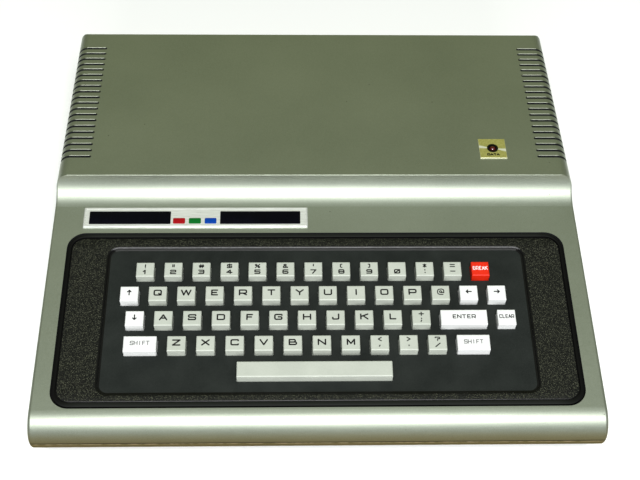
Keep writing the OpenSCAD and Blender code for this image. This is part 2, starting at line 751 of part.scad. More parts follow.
module keyboard_bezel() color("#1b1c1a") on_deck(0, bezel_v) difference() {
    lap_d = bezel_d + bezel_lap + bezel_front_lap;
    union() {
        slab(bezel_w, bezel_d, bezel_r, -wall - eps, -field_drop);
        difference() {
            slab(bezel_w, bezel_d, bezel_r, -wall - eps, -rim_drop);
            slab(bezel_w - 2 * rim_w, bezel_d - 2 * rim_w, bezel_r - rim_w, -wall - 1, 1);
        }
        translate([0, (bezel_lap - bezel_front_lap) / 2, 0])
            slab(bezel_w + 2 * bezel_lap, lap_d, bezel_r, panel_bottom, -wall);
        for (p = key_screws) translate([p[0], p[1] - bezel_v, key_board_top])
            cylinder(r = standoff_r, h = panel_bottom - key_board_top + eps);
    }
    difference() {
        slab(bezel_w - 2 * rim_w, bezel_d - 2 * rim_w, bezel_r - rim_w, -field_drop - rim_groove, 1);
        slab(bezel_w - 2 * rim_w - 2 * rim_groove, bezel_d - 2 * rim_w - 2 * rim_groove,
            bezel_r - rim_w - rim_groove, -field_drop - rim_groove - 1, 2);
    }
    translate([0, panel_v - bezel_v, 0]) {
        hull() {
            slab(panel_w, panel_d, recess_r, -panel_drop - eps, -panel_drop, $fn = 32);
            slab(panel_w + 2 * recess_slope, panel_d + 2 * recess_slope, recess_r + recess_slope,
                0, eps, $fn = 32);
        }
        slab(panel_w + 2 * panel_lap + 2 * key_gap, panel_d + 2 * panel_lap + 2 * key_gap,
            recess_r, panel_bottom - 1, -panel_drop);
    }
    for (p = key_screws) translate([p[0], p[1] - bezel_v, key_board_top - eps])
        cylinder(r = screw_r + pilot_gap, h = screw_len);
}

// Places its children at a key's middle on the deck
module at_key(place) on_deck(first_key_x + place[0] * pitch, row_v - place[1] * pitch) children();

// One key: cap with a sloping front, and the stop flange under the panel
module key(place, w = cap_w) at_key(place) {
    r = cap_edge_r;
    intersection() {
        across(w) {
            polygon([
                [cap_d / 2, key_bottom], [cap_d / 2, cap_rise - r], [cap_d / 2 - r, cap_rise],
                [-cap_d / 2 + cap_slope + r, cap_rise], [-cap_d / 2 + cap_slope, cap_rise - r],
                [-cap_d / 2, -panel_drop], [-cap_d / 2, key_bottom],
            ]);
            translate([cap_d / 2 - r, cap_rise - r]) circle(r);
            translate([-cap_d / 2 + cap_slope + r, cap_rise - r]) circle(r);
        }
        along(-cap_d / 2, cap_d / 2) {
            translate([-w / 2, key_bottom]) square([w, cap_rise - key_bottom - r]);
            translate([-w / 2 + r, key_bottom]) square([w - 2 * r, cap_rise - key_bottom]);
            for (s = [-1, 1]) translate([s * (w / 2 - r), cap_rise - r]) circle(r);
        }
        slab(w, cap_d, cap_corner_r, key_bottom - 1, cap_rise + 1);
    }
    slab(w + 2 * key_gap + 2 * stop_lap, cap_d + 2 * key_gap + 2 * stop_lap, cap_corner_r,
        key_bottom, panel_bottom);
}

module keyboard_panel() color("#161716") {
    on_deck(0, panel_v) {
        for (sx = [-1, 1], sv = [-1, 0, 1])
            translate([sx * panel_post_x, sv * (panel_d / 2 - post_r), key_board_top])
                cylinder(r = post_r, h = panel_bottom - key_board_top + eps);
    }
    difference() {
        on_deck(0, panel_v)
            slab(panel_w + 2 * panel_lap, panel_d + 2 * panel_lap, recess_r, panel_bottom, -panel_drop);
        for (k = all_keys) at_key(k[0]) slab(k[1] + 2 * key_gap, cap_d + 2 * key_gap, cap_corner_r,
            panel_bottom - 1, 0);
    }
}

module dome_sheet() color("#b9bcae") {
    on_deck(0, panel_v) slab(panel_w - 2 * sheet_margin, panel_d - 2 * sheet_margin, recess_r,
        key_board_top, sheet_top);
    for (k = all_keys) at_key(k[0]) translate([0, 0, sheet_top - eps])
        cylinder(r1 = dome_r, r2 = dome_top_r, h = dome_h + eps);
}

module keyboard_board() color("#5a6b3a") difference() {
    on_deck(0, bezel_v) slab(key_board_w, key_board_d, recess_r, key_board_bottom, key_board_top);
    for (p = key_screws) on_deck(p[0], p[1]) translate([0, 0, key_board_bottom - 1])
        cylinder(r = screw_r + through_gap, h = board_t + 2);
}

// The ribbon drops from its plug under the keyboard board to its plug on the main board
module ribbon_cable() color("#9a9c98") {
    plug_w = key_board_bottom - plug_h / 2;
    top = [
        deck_y + ribbon_v * cos(deck_tilt) - plug_w * sin(deck_tilt),
        deck_z + ribbon_v * sin(deck_tilt) + plug_w * cos(deck_tilt),
    ];
    low = [ribbon_y, board_top + plug_h / 2];
    translate([ribbon_x - ribbon_w / 2, ribbon_y - plug_d / 2, board_top]) cube([ribbon_w, plug_d, plug_h]);
    on_deck(ribbon_x, ribbon_v) translate([-ribbon_w / 2, -plug_d / 2, key_board_bottom - plug_h])
        cube([ribbon_w, plug_d, plug_h]);
    translate([ribbon_x, 0, 0]) across(ribbon_w - 2 * ribbon_t) polygon([
        top - [ribbon_t / 2, 0], top + [ribbon_t / 2, 0], low + [ribbon_t / 2, 0], low - [ribbon_t / 2, 0],
    ]);
}

module badge_plate() color("#b8bab6") on_deck(badge_mid_x, badge_v) difference() {
    intersection() {
        across(badge_w) polygon([
            [-badge_d / 2, 0], [badge_d / 2, 0], [badge_d / 2 - badge_bevel, badge_t],
            [-badge_d / 2 + badge_bevel, badge_t],
        ]);
        along(-badge_d / 2, badge_d / 2) polygon([
            [-badge_w / 2, 0], [badge_w / 2, 0], [badge_w / 2 - badge_bevel, badge_t],
            [-badge_w / 2 + badge_bevel, badge_t],
        ]);
    }
    translate([-badge_w / 2 + badge_rim, -badge_d / 2 + badge_rim, badge_t - badge_sink])
        cube([badge_w - 2 * badge_rim, badge_d - 2 * badge_rim, badge_t]);
}

module lamp_plate() color("#b39a5c") translate([lamp_x, lamp_y, body_h]) difference() {
    translate([-lamp_plate_w / 2, -lamp_plate_w / 2, 0]) cube([lamp_plate_w, lamp_plate_w, lamp_plate_t]);
    translate([0, 0, -1]) cylinder(r = clip_r + lamp_gap, h = lamp_plate_t + 2);
}

module lamp_clip() color("#111111") translate([lamp_x, lamp_y, 0]) difference() {
    union() {
        translate([0, 0, clip_bottom]) cylinder(r = clip_r, h = collar_z - clip_bottom + eps);
        translate([0, 0, collar_z]) cylinder(r = clip_r + lamp_collar, h = lamp_collar_h);
    }
    translate([0, 0, clip_bottom - 1]) cylinder(r = lamp_r + lamp_gap, h = body_h);
}

module data_lamp() color("#7c1512") translate([lamp_x, lamp_y, 0]) {
    translate([0, 0, clip_bottom]) cylinder(r = lamp_r, h = dome_z - clip_bottom);
    translate([0, 0, dome_z]) sphere(r = lamp_r);
    translate([0, 0, clip_bottom - lamp_clip_t]) cylinder(r = lamp_r + lamp_clip_t, h = lamp_clip_t);
}

module main_board() color("#4d6a35") difference() {
    translate([main_x - main_w / 2, main_y - main_d / 2, board_z]) cube([main_w, main_d, board_t]);
    for (p = main_screws) translate([p[0], p[1], board_z - 1])
        cylinder(r = screw_r + through_gap, h = board_t + 2);
}

// A dual in-line chip with its legs, long side along Y
module chip(x, y, pins, w) {
    leg_pitch = 2.54;
    rows = pins / 2;
    body_l = rows * leg_pitch;
    stand = 1;
    body_t = 3.4;
    leg = 0.6;
    translate([x, y, board_top]) {
        translate([-w / 2, -body_l / 2, stand]) cube([w, body_l, body_t]);
        for (s = [-1, 1], i = [0 : rows - 1])
            translate([s * w / 2 - leg, (i - (rows - 1) / 2) * leg_pitch - leg / 2, 0])
                cube([2 * leg, leg, stand + body_t / 2]);
    }
}

module logic_chips() color("#222222") {
    big_w = 14;
    small_w = 6.6;
    for (i = [-1 : 1]) chip(shield_x + i * 3 * big_w, shield_y + shield_d / 6, 40, big_w);
    for (i = [0 : 5]) chip(shield_x + (i - 2.5) * 3 * small_w, shield_y - shield_d / 4, 16, small_w);
    for (i = [0 : 3]) chip(
        main_x + main_w / 2 - 3 * standoff_r, main_y + (i - 1.5) * 5 * small_w, 16, small_w);
}

module shield_can() color("#a9aba6") translate([shield_x, shield_y, board_top]) difference() {
    translate([-shield_w / 2, -shield_d / 2, 0]) cube([shield_w, shield_d, shield_h]);
    translate([-shield_w / 2 + shield_t, -shield_d / 2 + shield_t, -1])
        cube([shield_w - 2 * shield_t, shield_d - 2 * shield_t, shield_h - shield_t + 1]);
    for (i = [-4 : 4], j = [-3 : 3])
        translate([i * shield_w / 10, j * shield_d / 8, shield_h - 2 * shield_t])
            cylinder(r = shield_hole_r, h = 3 * shield_t);
}

module rf_modulator() color("#9fa19c") difference() {
    union() {
        translate([modulator_x - modulator_w / 2, modulator_rear_y - modulator_d, board_top])
            cube([modulator_w, modulator_d, modulator_h]);
        translate([jack_x, modulator_rear_y - eps, rear_axis_z]) rotate([-90, 0, 0])
            cylinder(r = jack_r, h = rear_flush_y - modulator_rear_y + eps);
    }
    translate([jack_x, modulator_rear_y - 2 * jack_r, rear_axis_z]) rotate([-90, 0, 0])
        cylinder(r = jack_bore_r, h = 4 * jack_r);
    slider_slot();
}

// The track that the channel slider's foot runs in
module slider_slot() translate([
    slider_x - slider_foot_w / 2 - slider_room, modulator_rear_y - slider_foot_d - slider_room,
    rear_axis_z - slider_foot_h / 2 - slider_room,
]) cube([
    slider_foot_w + slider_travel + 2 * slider_room, 2 * slider_foot_d, slider_foot_h + 2 * slider_room,
]);

module channel_slider() color("#1a1a1a") {
    translate([
        slider_x - slider_foot_w / 2, modulator_rear_y - slider_foot_d, rear_axis_z - slider_foot_h / 2,
    ]) cube([slider_foot_w, slider_foot_d, slider_foot_h]);
    translate([slider_x - slider_w / 2, modulator_rear_y - eps, rear_axis_z - slider_h / 2])
        cube([slider_w, rear_flush_y - modulator_rear_y + eps, slider_h]);
}

module power_switch() color("#2a2a2a") difference() {
    switch_w = button_w + stem_w / 2;
    translate([button_x - switch_w / 2, switch_rear_y - switch_d, board_top])
        cube([switch_w, switch_d, rear_axis_h + stem_w]);
    translate([
        button_x - stem_w / 2 - slider_room, switch_rear_y - stem_d - button_travel,
        rear_axis_z - stem_w / 2 - slider_room,
    ]) cube([stem_w + 2 * slider_room, switch_d, stem_w + 2 * slider_room]);
}

module power_button() color("#1c1c1c") {
    translate([button_x - button_w / 2, button_head_y, rear_axis_z - button_h / 2])
        cube([button_w, rear_flush_y - button_head_y, button_h]);
    translate([button_x - stem_w / 2, switch_rear_y - stem_d + button_travel / 2, rear_axis_z - stem_w / 2])
        cube([stem_w, button_head_y - switch_rear_y + stem_d - button_travel / 2 + eps, stem_w]);
}

// The mains transformer: a core on a screwed foot, with its winding round the middle
module transformer() color("#6d5a45") translate([transformer_x, transformer_y, 0]) {
    coil_l = core_l * 0.6;
    difference() {
        translate([-core_t / 2, -foot_l / 2, board_z]) cube([core_t, foot_l, board_t]);
        for (p = transformer_screws) translate([0, p[1] - transformer_y, board_z - 1])
            cylinder(r = screw_r + through_gap, h = board_t + 2);
    }
    translate([-core_t / 2, -core_l / 2, board_z]) cube([core_t, core_l, core_h]);
    translate([0, 0, board_z + core_h / 2]) linear_extrude(core_h - 4 * board_t, center = true)
        round_rect(core_t + 2 * coil_swell, coil_l, coil_swell);
}

module filter_capacitor() color("#2f4a6b") translate([capacitor_x, capacitor_y, board_top]) difference() {
    crimp = 0.6;
    cylinder(r = cap_can_r, h = cap_can_h);
    translate([0, 0, cap_can_h / 10]) tube(cap_can_r + 1, cap_can_r - crimp, 2 * crimp);
}

module heat_sink() color("#8f9294") translate([sink_x, sink_y, board_top]) {
    translate([-sink_w / 2, -fin_t, 0]) cube([sink_w, 2 * fin_t, sink_h]);
    for (i = [0 : fin_count - 1])
        translate([-sink_w / 2 + i * (sink_w - fin_t) / (fin_count - 1), -sink_d / 2, 0])
            cube([fin_t, sink_d, sink_h]);
}

module line_transformer() color("#c9b458") translate([line_x, line_y, board_top]) {
    coil_inset = 3;
    translate([-line_w / 2, -line_d / 2, 0]) cube([line_w, line_d, line_h]);
    translate([0, 0, line_h / 2]) rotate([90, 0, 0]) linear_extrude(line_d * 1.5, center = true)
        round_rect(line_w - 2 * coil_inset, line_h - 2 * coil_inset, coil_inset);
}

// The telephone jack: a body on the board behind the wall and a neck in the wall's window
module phone_jack() color("#23241f") difference() {
    latch_d = 2;
    union() {
        translate([phone_x - phone_w / 2, phone_front_y, board_top])
            cube([phone_w, rear_in_y - rear_gap - phone_front_y, rear_axis_h + phone_h / 2]);
        translate([phone_x - phone_w / 2, phone_front_y, rear_axis_z - phone_h / 2])
            cube([phone_w, phone_d, phone_h]);
    }
    translate([phone_x - mouth_w / 2, rear_flush_y - mouth_d, rear_axis_z - mouth_h / 2])
        cube([mouth_w, mouth_d + 1, mouth_h]);
    translate([phone_x - mouth_w / 4, rear_flush_y - mouth_d, rear_axis_z - mouth_h / 2 - latch_d])
        cube([mouth_w / 2, mouth_d + 1, mouth_h]);
}

module cord_gland() color("#151515") translate([gland_x, 0, gland_z]) rotate([-90, 0, 0]) {
    r = gland_bore_r + gland_t;
    translate([0, 0, rear_in_y - gland_d]) tube(r + gland_collar, gland_bore_r, gland_d);
    translate([0, 0, rear_in_y - gland_d]) tube(r, gland_bore_r, gland_d + wall - rear_flush);
}

module rubber_feet() color("#1a1a1a") for (p = feet) translate([p[0], p[1], 0])
    cylinder(r = foot_r, h = foot_h + foot_seat);

// A cross-slotted screw, head down, with the underside of its head at zero
module screw() {
    slot_w = 0.8;
    slot_l = head_r * 1.4;
    difference() {
        union() {
            translate([0, 0, -head_h]) cylinder(r = head_r, h = head_h);
            translate([0, 0, -eps]) cylinder(r = screw_r, h = screw_len);
        }
        for (turn = [0, 90]) rotate(turn) translate([-slot_l / 2, -slot_w / 2, -head_h - 1])
            cube([slot_l, slot_w, head_h / 2 + 1]);
    }
}

module screws() color("#8a8c88") {
    for (p = case_posts) translate([p[0], p[1], case_seat_z]) screw();
    for (p = key_screws) on_deck(p[0], p[1]) translate([0, 0, key_board_bottom]) screw();
    for (p = board_screws) translate([p[0], p[1], board_top]) mirror([0, 0, 1]) screw();
}

// The letter keys, found in their rows by name
module letter_key(letter) color("#c9cdbd") for (row = [0 : 2]) {
    found = search(letter, letter_rows[row]);
    if (len(found) > 0) key([letter_start[row] + found[0], row + 1]);
}

module digit_keys() color("#c9cdbd") for (place = number_row) key(place);
module sign_keys() color("#c9cdbd") for (place = sign_places) key(place);
module arrow_keys() color("#e6e6dc") for (place = arrow_places) key(place);
module shift_keys() color("#e6e6dc") for (place = shift_places) key(place, shift_w);
module break_key() color("#b0281e") key(break_place);
module enter_key() color("#e6e6dc") key(enter_place, enter_w);
module clear_key() color("#e6e6dc") key(clear_place);
module space_bar() color("#c9cdbd") key(space_place, space_len);

upper_case();
lower_case();
keyboard_bezel();
keyboard_panel();
dome_sheet();
keyboard_board();
ribbon_cable();
badge_plate();
lamp_plate();
lamp_clip();
data_lamp();
main_board();
logic_chips();
shield_can();
rf_modulator();
channel_slider();
power_switch();
power_button();
transformer();
filter_capacitor();
heat_sink();
line_transformer();
phone_jack();
cord_gland();
rubber_feet();
screws();
digit_keys();
sign_keys();
arrow_keys();
shift_keys();
break_key();
enter_key();
clear_key();
space_bar();
for (letter = letters) letter_key(letter);
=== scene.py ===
import json
from math import atan2, cos, pi, radians, sin

import bmesh
import bpy
from mathutils import Matrix, Vector


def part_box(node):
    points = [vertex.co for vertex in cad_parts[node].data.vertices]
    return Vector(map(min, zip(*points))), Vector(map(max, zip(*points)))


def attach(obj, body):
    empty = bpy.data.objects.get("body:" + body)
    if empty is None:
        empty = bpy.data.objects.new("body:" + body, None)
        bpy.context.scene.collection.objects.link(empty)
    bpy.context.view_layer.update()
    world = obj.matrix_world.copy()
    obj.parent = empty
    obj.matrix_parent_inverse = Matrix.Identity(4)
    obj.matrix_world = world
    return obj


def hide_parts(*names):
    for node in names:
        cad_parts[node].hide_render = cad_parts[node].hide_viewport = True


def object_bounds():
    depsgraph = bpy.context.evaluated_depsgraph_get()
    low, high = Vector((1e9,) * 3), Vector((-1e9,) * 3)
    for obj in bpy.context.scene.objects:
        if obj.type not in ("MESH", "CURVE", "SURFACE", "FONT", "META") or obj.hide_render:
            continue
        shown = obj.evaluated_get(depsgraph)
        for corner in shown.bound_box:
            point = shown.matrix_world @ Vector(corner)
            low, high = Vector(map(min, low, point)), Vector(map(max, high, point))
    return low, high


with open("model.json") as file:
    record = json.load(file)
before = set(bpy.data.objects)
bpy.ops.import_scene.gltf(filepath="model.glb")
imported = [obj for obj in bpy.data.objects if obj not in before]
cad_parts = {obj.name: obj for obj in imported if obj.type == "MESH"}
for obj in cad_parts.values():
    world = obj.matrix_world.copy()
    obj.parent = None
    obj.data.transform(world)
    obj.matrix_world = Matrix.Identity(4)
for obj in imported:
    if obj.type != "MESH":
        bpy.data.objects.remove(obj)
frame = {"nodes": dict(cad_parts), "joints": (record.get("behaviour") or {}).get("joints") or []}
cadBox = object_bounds()
nodes = frame["nodes"]
mm = 0.001
print("Frame loaded with", len(nodes), "nodes")

# Camera at the photo's viewing angle
view = {
    "place": (-21.24, -572.52, 690.43), "down": 48.821, "turn": -2.497, "roll": 1.763,
    "lens": 66.92, "near": 10,
}

eye = bpy.data.objects.new("eye", bpy.data.cameras.new("eye"))
eye.data.lens = view["lens"]
eye.data.clip_start = view["near"] * mm
eye.matrix_world = (
    Matrix.Translation(Vector(view["place"]) * mm)
    @ Matrix.Rotation(radians(view["turn"]), 4, "Z")
    @ Matrix.Rotation(radians(90 - view["down"]), 4, "X")
    @ Matrix.Rotation(radians(view["roll"]), 4, "Z")
)
bpy.context.scene.collection.objects.link(eye)
bpy.context.scene.camera = eye

# The sloping deck's own frame: x across, v up the slope from the nose, w out of the deck
deck = {"noseRadius": 16}

pressAxis = Vector(next(joint["axis"] for joint in frame["joints"] if joint["child"] == "key_q"))
tilt = atan2(pressAxis.y, -pressAxis.z)
noseRadius = deck["noseRadius"] * mm
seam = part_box("upper_case")[0].z
deckFrame = Matrix.Translation((
    0,
    cadBox[0].y + noseRadius * (1 - sin(tilt)),
    seam + noseRadius * cos(tilt),
)) @ Matrix.Rotation(tilt, 4, "X")


def deckSpan(node):
    # a node's lowest and highest x, v and w on the deck
    inverse = deckFrame.inverted()
    spots = [inverse @ vertex.co for vertex in nodes[node].data.vertices]
    low = Vector([min(spot[axis] for spot in spots) for axis in range(3)])
    high = Vector([max(spot[axis] for spot in spots) for axis in range(3)])
    return low, high


# Node helpers for the materials
noiseSpan = (0.3, 0.7)  # most values of a noise texture lie between these


def addNode(tree, kind, inputs=None, **properties):
    node = tree.nodes.new("ShaderNode" + kind)
    for name, value in properties.items():
        setattr(node, name, value)
    for socket, value in (inputs or {}).items():
        if isinstance(value, bpy.types.NodeSocket):
            tree.links.new(value, node.inputs[socket])
        else:
            node.inputs[socket].default_value = value
    return node


def startMaterial(name, settings):
    material = bpy.data.materials.new(name)
    material.use_nodes = True
    shader = material.node_tree.nodes["Principled BSDF"]
    for socket, value in settings.items():
        shader.inputs[socket].default_value = value
    return material, material.node_tree, shader


def objectCoords(tree):
    return addNode(tree, "TexCoord").outputs["Object"]


def axes(tree, vector):
    return addNode(tree, "SeparateXYZ", {"Vector": vector}).outputs


def noise(tree, scale, detail=2.0, roughness=0.5, vector=None):
    inputs = {
        "Vector": vector or objectCoords(tree), "Scale": scale,
        "Detail": detail, "Roughness": roughness,
    }
    return addNode(tree, "TexNoise", inputs).outputs["Fac"]


def cells(tree, scale):
    return addNode(tree, "TexVoronoi", {"Vector": objectCoords(tree), "Scale": scale}).outputs


def ramp(tree, factor, first, last, span=(0.0, 1.0)):
    node = addNode(tree, "ValToRGB", {"Fac": factor})
    for element, place, colour in zip(node.color_ramp.elements, span, (first, last)):
        element.position = place
        element.color = (*colour, 1)
    return node.outputs["Color"]


def spread(tree, value, low, high, newLow=0.0, newHigh=1.0):
    inputs = {"Value": value, "From Min": low, "From Max": high, "To Min": newLow, "To Max": newHigh}
    return addNode(tree, "MapRange", inputs).outputs["Result"]


def maths(tree, operation, first, second=0.0):
    return addNode(tree, "Math", {0: first, 1: second}, operation=operation).outputs["Value"]


def product(tree, first, *others):
    for other in others:
        first = maths(tree, "MULTIPLY", first, other)
    return first


def mixColours(tree, factor, under, colour):
    inputs = {"Fac": factor, "Color1": under, "Color2": (*colour, 1)}
    return addNode(tree, "MixRGB", inputs).outputs["Color"]


def feed(tree, shader, socket, value):
    tree.links.new(value, shader.inputs[socket])


def addBump(tree, shader, height, strength, depth):
    inputs = {"Height": height, "Strength": strength, "Distance": depth * mm}
    feed(tree, shader, "Normal", addNode(tree, "Bump", inputs).outputs["Normal"])


def within(tree, value, low, high, soft):
    # 1 between low and high, fading to 0 over the soft width
    rise = spread(tree, value, low - soft / 2, low + soft / 2)
    fall = spread(tree, value, high + soft / 2, high - soft / 2)
    return product(tree, rise, fall)


def makeCasePaint():
    # silver paint, with a painted brown reflection low on the nose, a painted highlight and a painted shade
    # line along the seam, and painted shade inside the slots, on their front-facing edges and in the
    # opening
    look = {
        "dark": (0.31, 0.345, 0.28), "light": (0.42, 0.455, 0.38), "metal": 0.9, "bump": (0.12, 0.2),
        "flake": (2400, 1.0), "flakeShare": 0.6, "cloud": (14, 3.0), "cloudShare": 0.4,
        "polish": (0.43, 0.53), "polishGrain": (900, 2.0), "polishSpan": (0.2, 0.8),
        "grime": (0.26, 0.20, 0.06), "grimeShare": 0.65, "grimeFade": (8, -4), "noseFade": (-150, -164),
        "worn": (0.62, 0.57, 0.46), "wornBand": (-2.2, -0.8, 0.4),
        "patch": (240, 3.0), "patchSpan": (0.36, 0.62),
        "gap": (0.05, 0.045, 0.03), "seamShadeBand": (-0.7, 0.1, 0.3),
        "pit": (0.10, 0.10, 0.08), "pitShare": 0.6, "pitScale": 55, "pitSpan": (0.035, 0.02),
        "paintedShade": (0.004, 0.005, 0.006), "paintedShadeRough": 0.8, "paintedShadeUpright": 0.25, "paintedShadeSoft": 0.1,
        "slotFront": 28, "slotRear": 157, "slotRun": 27, "slotFall": 17, "slotAcross": 0.75,
        "lip": (0.25, 0.265, 0.215), "chamferShadeFacing": -0.3,
        "openingFront": -158, "openingRear": -22.5, "openingSide": 172.5,
    }
    material, tree, shader = startMaterial("casePaint", {})
    place = axes(tree, objectCoords(tree))
    aside = maths(tree, "ABSOLUTE", place["X"])
    facing = axes(tree, addNode(tree, "NewGeometry").outputs["True Normal"])
    flake = noise(tree, *look["flake"])
    glint = spread(tree, flake, *noiseSpan, 0.0, look["flakeShare"])
    cloud = spread(tree, noise(tree, *look["cloud"]), *noiseSpan, 0.0, look["cloudShare"])
    paint = ramp(tree, maths(tree, "ADD", glint, cloud), look["dark"], look["light"])

    def seamBand(name):
        # a band of heights counted from the seam
        low, high, soft = look[name]
        return within(tree, place["Z"], seam + low * mm, seam + high * mm, soft * mm)

    noseStart, noseEnd = look["noseFade"]
    nose = spread(tree, place["Y"], noseStart * mm, noseEnd * mm)
    # painted reflection: the lower front of the nose is tinted brown where a brown table would show in it
    grimeTop, grimeFoot = look["grimeFade"]
    low = spread(tree, place["Z"], seam + grimeTop * mm, seam + grimeFoot * mm)
    paint = mixColours(tree, product(tree, low, nose, look["grimeShare"]), paint, look["grime"])
    # painted highlight: a pale, patchy band just under the seam along the nose
    patchy = spread(tree, noise(tree, *look["patch"]), *look["patchSpan"])
    paint = mixColours(tree, product(tree, seamBand("wornBand"), patchy, nose), paint, look["worn"])
    # painted shade: a dark line along the seam's groove on the nose
    paint = mixColours(tree, product(tree, seamBand("seamShadeBand"), nose), paint, look["gap"])
    pits = spread(tree, cells(tree, look["pitScale"])["Distance"], *look["pitSpan"])
    paint = mixColours(tree, product(tree, pits, look["pitShare"]), paint, look["pit"])

    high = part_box("upper_case")[1]
    soft = look["paintedShadeSoft"] * mm
    upright = maths(tree, "LESS_THAN", maths(tree, "ABSOLUTE", facing["Z"]), look["paintedShadeUpright"])
    slots = product(
        tree,
        within(tree, place["Y"], look["slotFront"] * mm, look["slotRear"] * mm, soft),
        maths(tree, "GREATER_THAN", aside, high.x - look["slotRun"] * mm),
        maths(tree, "GREATER_THAN", place["Z"], high.z - look["slotFall"] * mm),
        maths(tree, "LESS_THAN", maths(tree, "ABSOLUTE", facing["X"]), look["slotAcross"]),
    )
    opening = product(
        tree,
        within(tree, place["Y"], look["openingFront"] * mm, look["openingRear"] * mm, soft),
        maths(tree, "LESS_THAN", aside, look["openingSide"] * mm),
    )
    # painted shade: the walls inside the vent slots and round the keyboard opening turn near-black, matte
    # and unmetallic
    paintedShade = product(tree, maths(tree, "MAXIMUM", slots, opening), upright)
    # painted shade: faces in the slots that face forward get a darker paint, dimming their highlight
    lip = product(tree, slots, maths(tree, "LESS_THAN", facing["Y"], look["chamferShadeFacing"]))
    paint = mixColours(tree, lip, paint, look["lip"])
    feed(tree, shader, "Base Color", mixColours(tree, paintedShade, paint, look["paintedShade"]))
    feed(tree, shader, "Metallic", spread(tree, paintedShade, 0.0, 1.0, look["metal"], 0.0))
    polish = spread(tree, noise(tree, *look["polishGrain"]), *look["polishSpan"], *look["polish"])
    dull = product(tree, paintedShade, look["paintedShadeRough"])
    feed(tree, shader, "Roughness", maths(tree, "MAXIMUM", polish, dull))
    addBump(tree, shader, flake, *look["bump"])
    return material


def makeGrainedBlack():
    # coarse moulded grain, with pale flecks on its tops as painted highlights where the grain catches the
    # light
    look = {
        "ground": (0.003, 0.0035, 0.0025), "paintedGlint": (0.19, 0.20, 0.13), "paintedGlintSpan": (0.35, 1.0),
        "grain": 2100, "dotSpan": (0.46, 0.2), "fineGrain": (1250, 2.0, 0.6), "bump": (0.6, 0.4),
        "polish": (0.5, 0.7), "polishGrain": (620, 1.0), "gloss": 0.2,
    }
    material, tree, shader = startMaterial("grainedBlack", {"Specular IOR Level": look["gloss"]})
    grains = cells(tree, look["grain"])
    dot = spread(tree, grains["Distance"], *look["dotSpan"])
    share = addNode(tree, "SeparateColor", {"Color": grains["Color"]}).outputs["Red"]
    # painted highlights: pale flecks on the grain tops
    paintedGlint = product(tree, dot, spread(tree, share, *look["paintedGlintSpan"]))
    feed(tree, shader, "Base Color", ramp(tree, paintedGlint, look["ground"], look["paintedGlint"]))
    polish = spread(tree, noise(tree, *look["polishGrain"]), *noiseSpan, *look["polish"])
    feed(tree, shader, "Roughness", polish)
    height = maths(tree, "ADD", dot, noise(tree, *look["fineGrain"]))
    addBump(tree, shader, height, *look["bump"])
    return material


def makeRimSheen():
    # smooth black, with a painted sheen: paler along the front and rear of the rim than down its sides
    look = {
        "side": (0.003, 0.003, 0.003), "sideFrom": 168, "run": (0.010, 0.011, 0.0095), "runFrom": 152,
        "rough": 0.42, "gloss": 0.1, "grain": (1500, 2.0), "bump": (0.05, 0.2),
    }
    settings = {"Roughness": look["rough"], "Specular IOR Level": look["gloss"]}
    material, tree, shader = startMaterial("rimSheen", settings)
    aside = maths(tree, "ABSOLUTE", axes(tree, objectCoords(tree))["X"])
    # painted sheen: the rim's front and rear runs are paler than its sides
    run = spread(tree, aside, look["sideFrom"] * mm, look["runFrom"] * mm)
    feed(tree, shader, "Base Color", ramp(tree, run, look["side"], look["run"]))
    addBump(tree, shader, noise(tree, *look["grain"]), *look["bump"])
    return material


def makeSpunBrass(centre):
    # brass spun about the lamp: fine rings, and a painted sheen to its left and right
    look = {
        "dark": (0.34, 0.33, 0.08), "light": (0.50, 0.48, 0.16), "grain": (700, 3.0, 0.6),
        "paintedSheen": (0.80, 0.82, 0.68), "paintedSheenSpan": (0.22, 0.05), "turn": 10,
        "metal": 0.45, "rough": 0.34, "ring": 0.4, "bump": (0.2, 0.1),
    }
    settings = {"Metallic": look["metal"], "Roughness": look["rough"]}
    material, tree, shader = startMaterial("spunBrass", settings)
    moved = {"Vector": objectCoords(tree), "Location": -centre}
    middle = addNode(tree, "Mapping", moved).outputs["Vector"]
    turned = {"Vector": middle, "Rotation": (0, 0, radians(look["turn"])), "Scale": (1, 1, 0)}
    flat = addNode(tree, "Mapping", turned).outputs["Vector"]
    away = addNode(tree, "VectorMath", {0: flat}, operation="LENGTH").outputs["Value"]
    rings = maths(tree, "SINE", product(tree, away, 2 * pi / (look["ring"] * mm)))
    across = maths(tree, "DIVIDE", maths(tree, "ABSOLUTE", axes(tree, flat)["Y"]), away)
    brass = ramp(tree, noise(tree, *look["grain"]), look["dark"], look["light"], noiseSpan)
    # painted sheen: a pale streak either side of the lamp
    paintedSheen = spread(tree, across, *look["paintedSheenSpan"])
    feed(tree, shader, "Base Color", mixColours(tree, paintedSheen, brass, look["paintedSheen"]))
    addBump(tree, shader, rings, *look["bump"])
    return material


def makePlastic(name, dark, light, roughness, grainScale, bumpStrength, extra=None):
    # moulded plastic: faint clouding, fine grain and an uneven polish
    look = {
        "cloud": (60, 3.0), "cloudShare": 0.6, "grainShare": 0.4,
        "polishSpan": (0.25, 0.75), "uneven": 0.06, "bumpDepth": 0.2,
    }
    material, tree, shader = startMaterial(name, extra or {})
    grain = noise(tree, grainScale)
    cloud = product(tree, noise(tree, *look["cloud"]), look["cloudShare"])
    tone = maths(tree, "ADD", cloud, product(tree, grain, look["grainShare"]))
    feed(tree, shader, "Base Color", ramp(tree, tone, dark, light, noiseSpan))
    polish = (roughness - look["uneven"], roughness + look["uneven"])
    feed(tree, shader, "Roughness", spread(tree, grain, *look["polishSpan"], *polish))
    addBump(tree, shader, grain, bumpStrength, look["bumpDepth"])
    return material


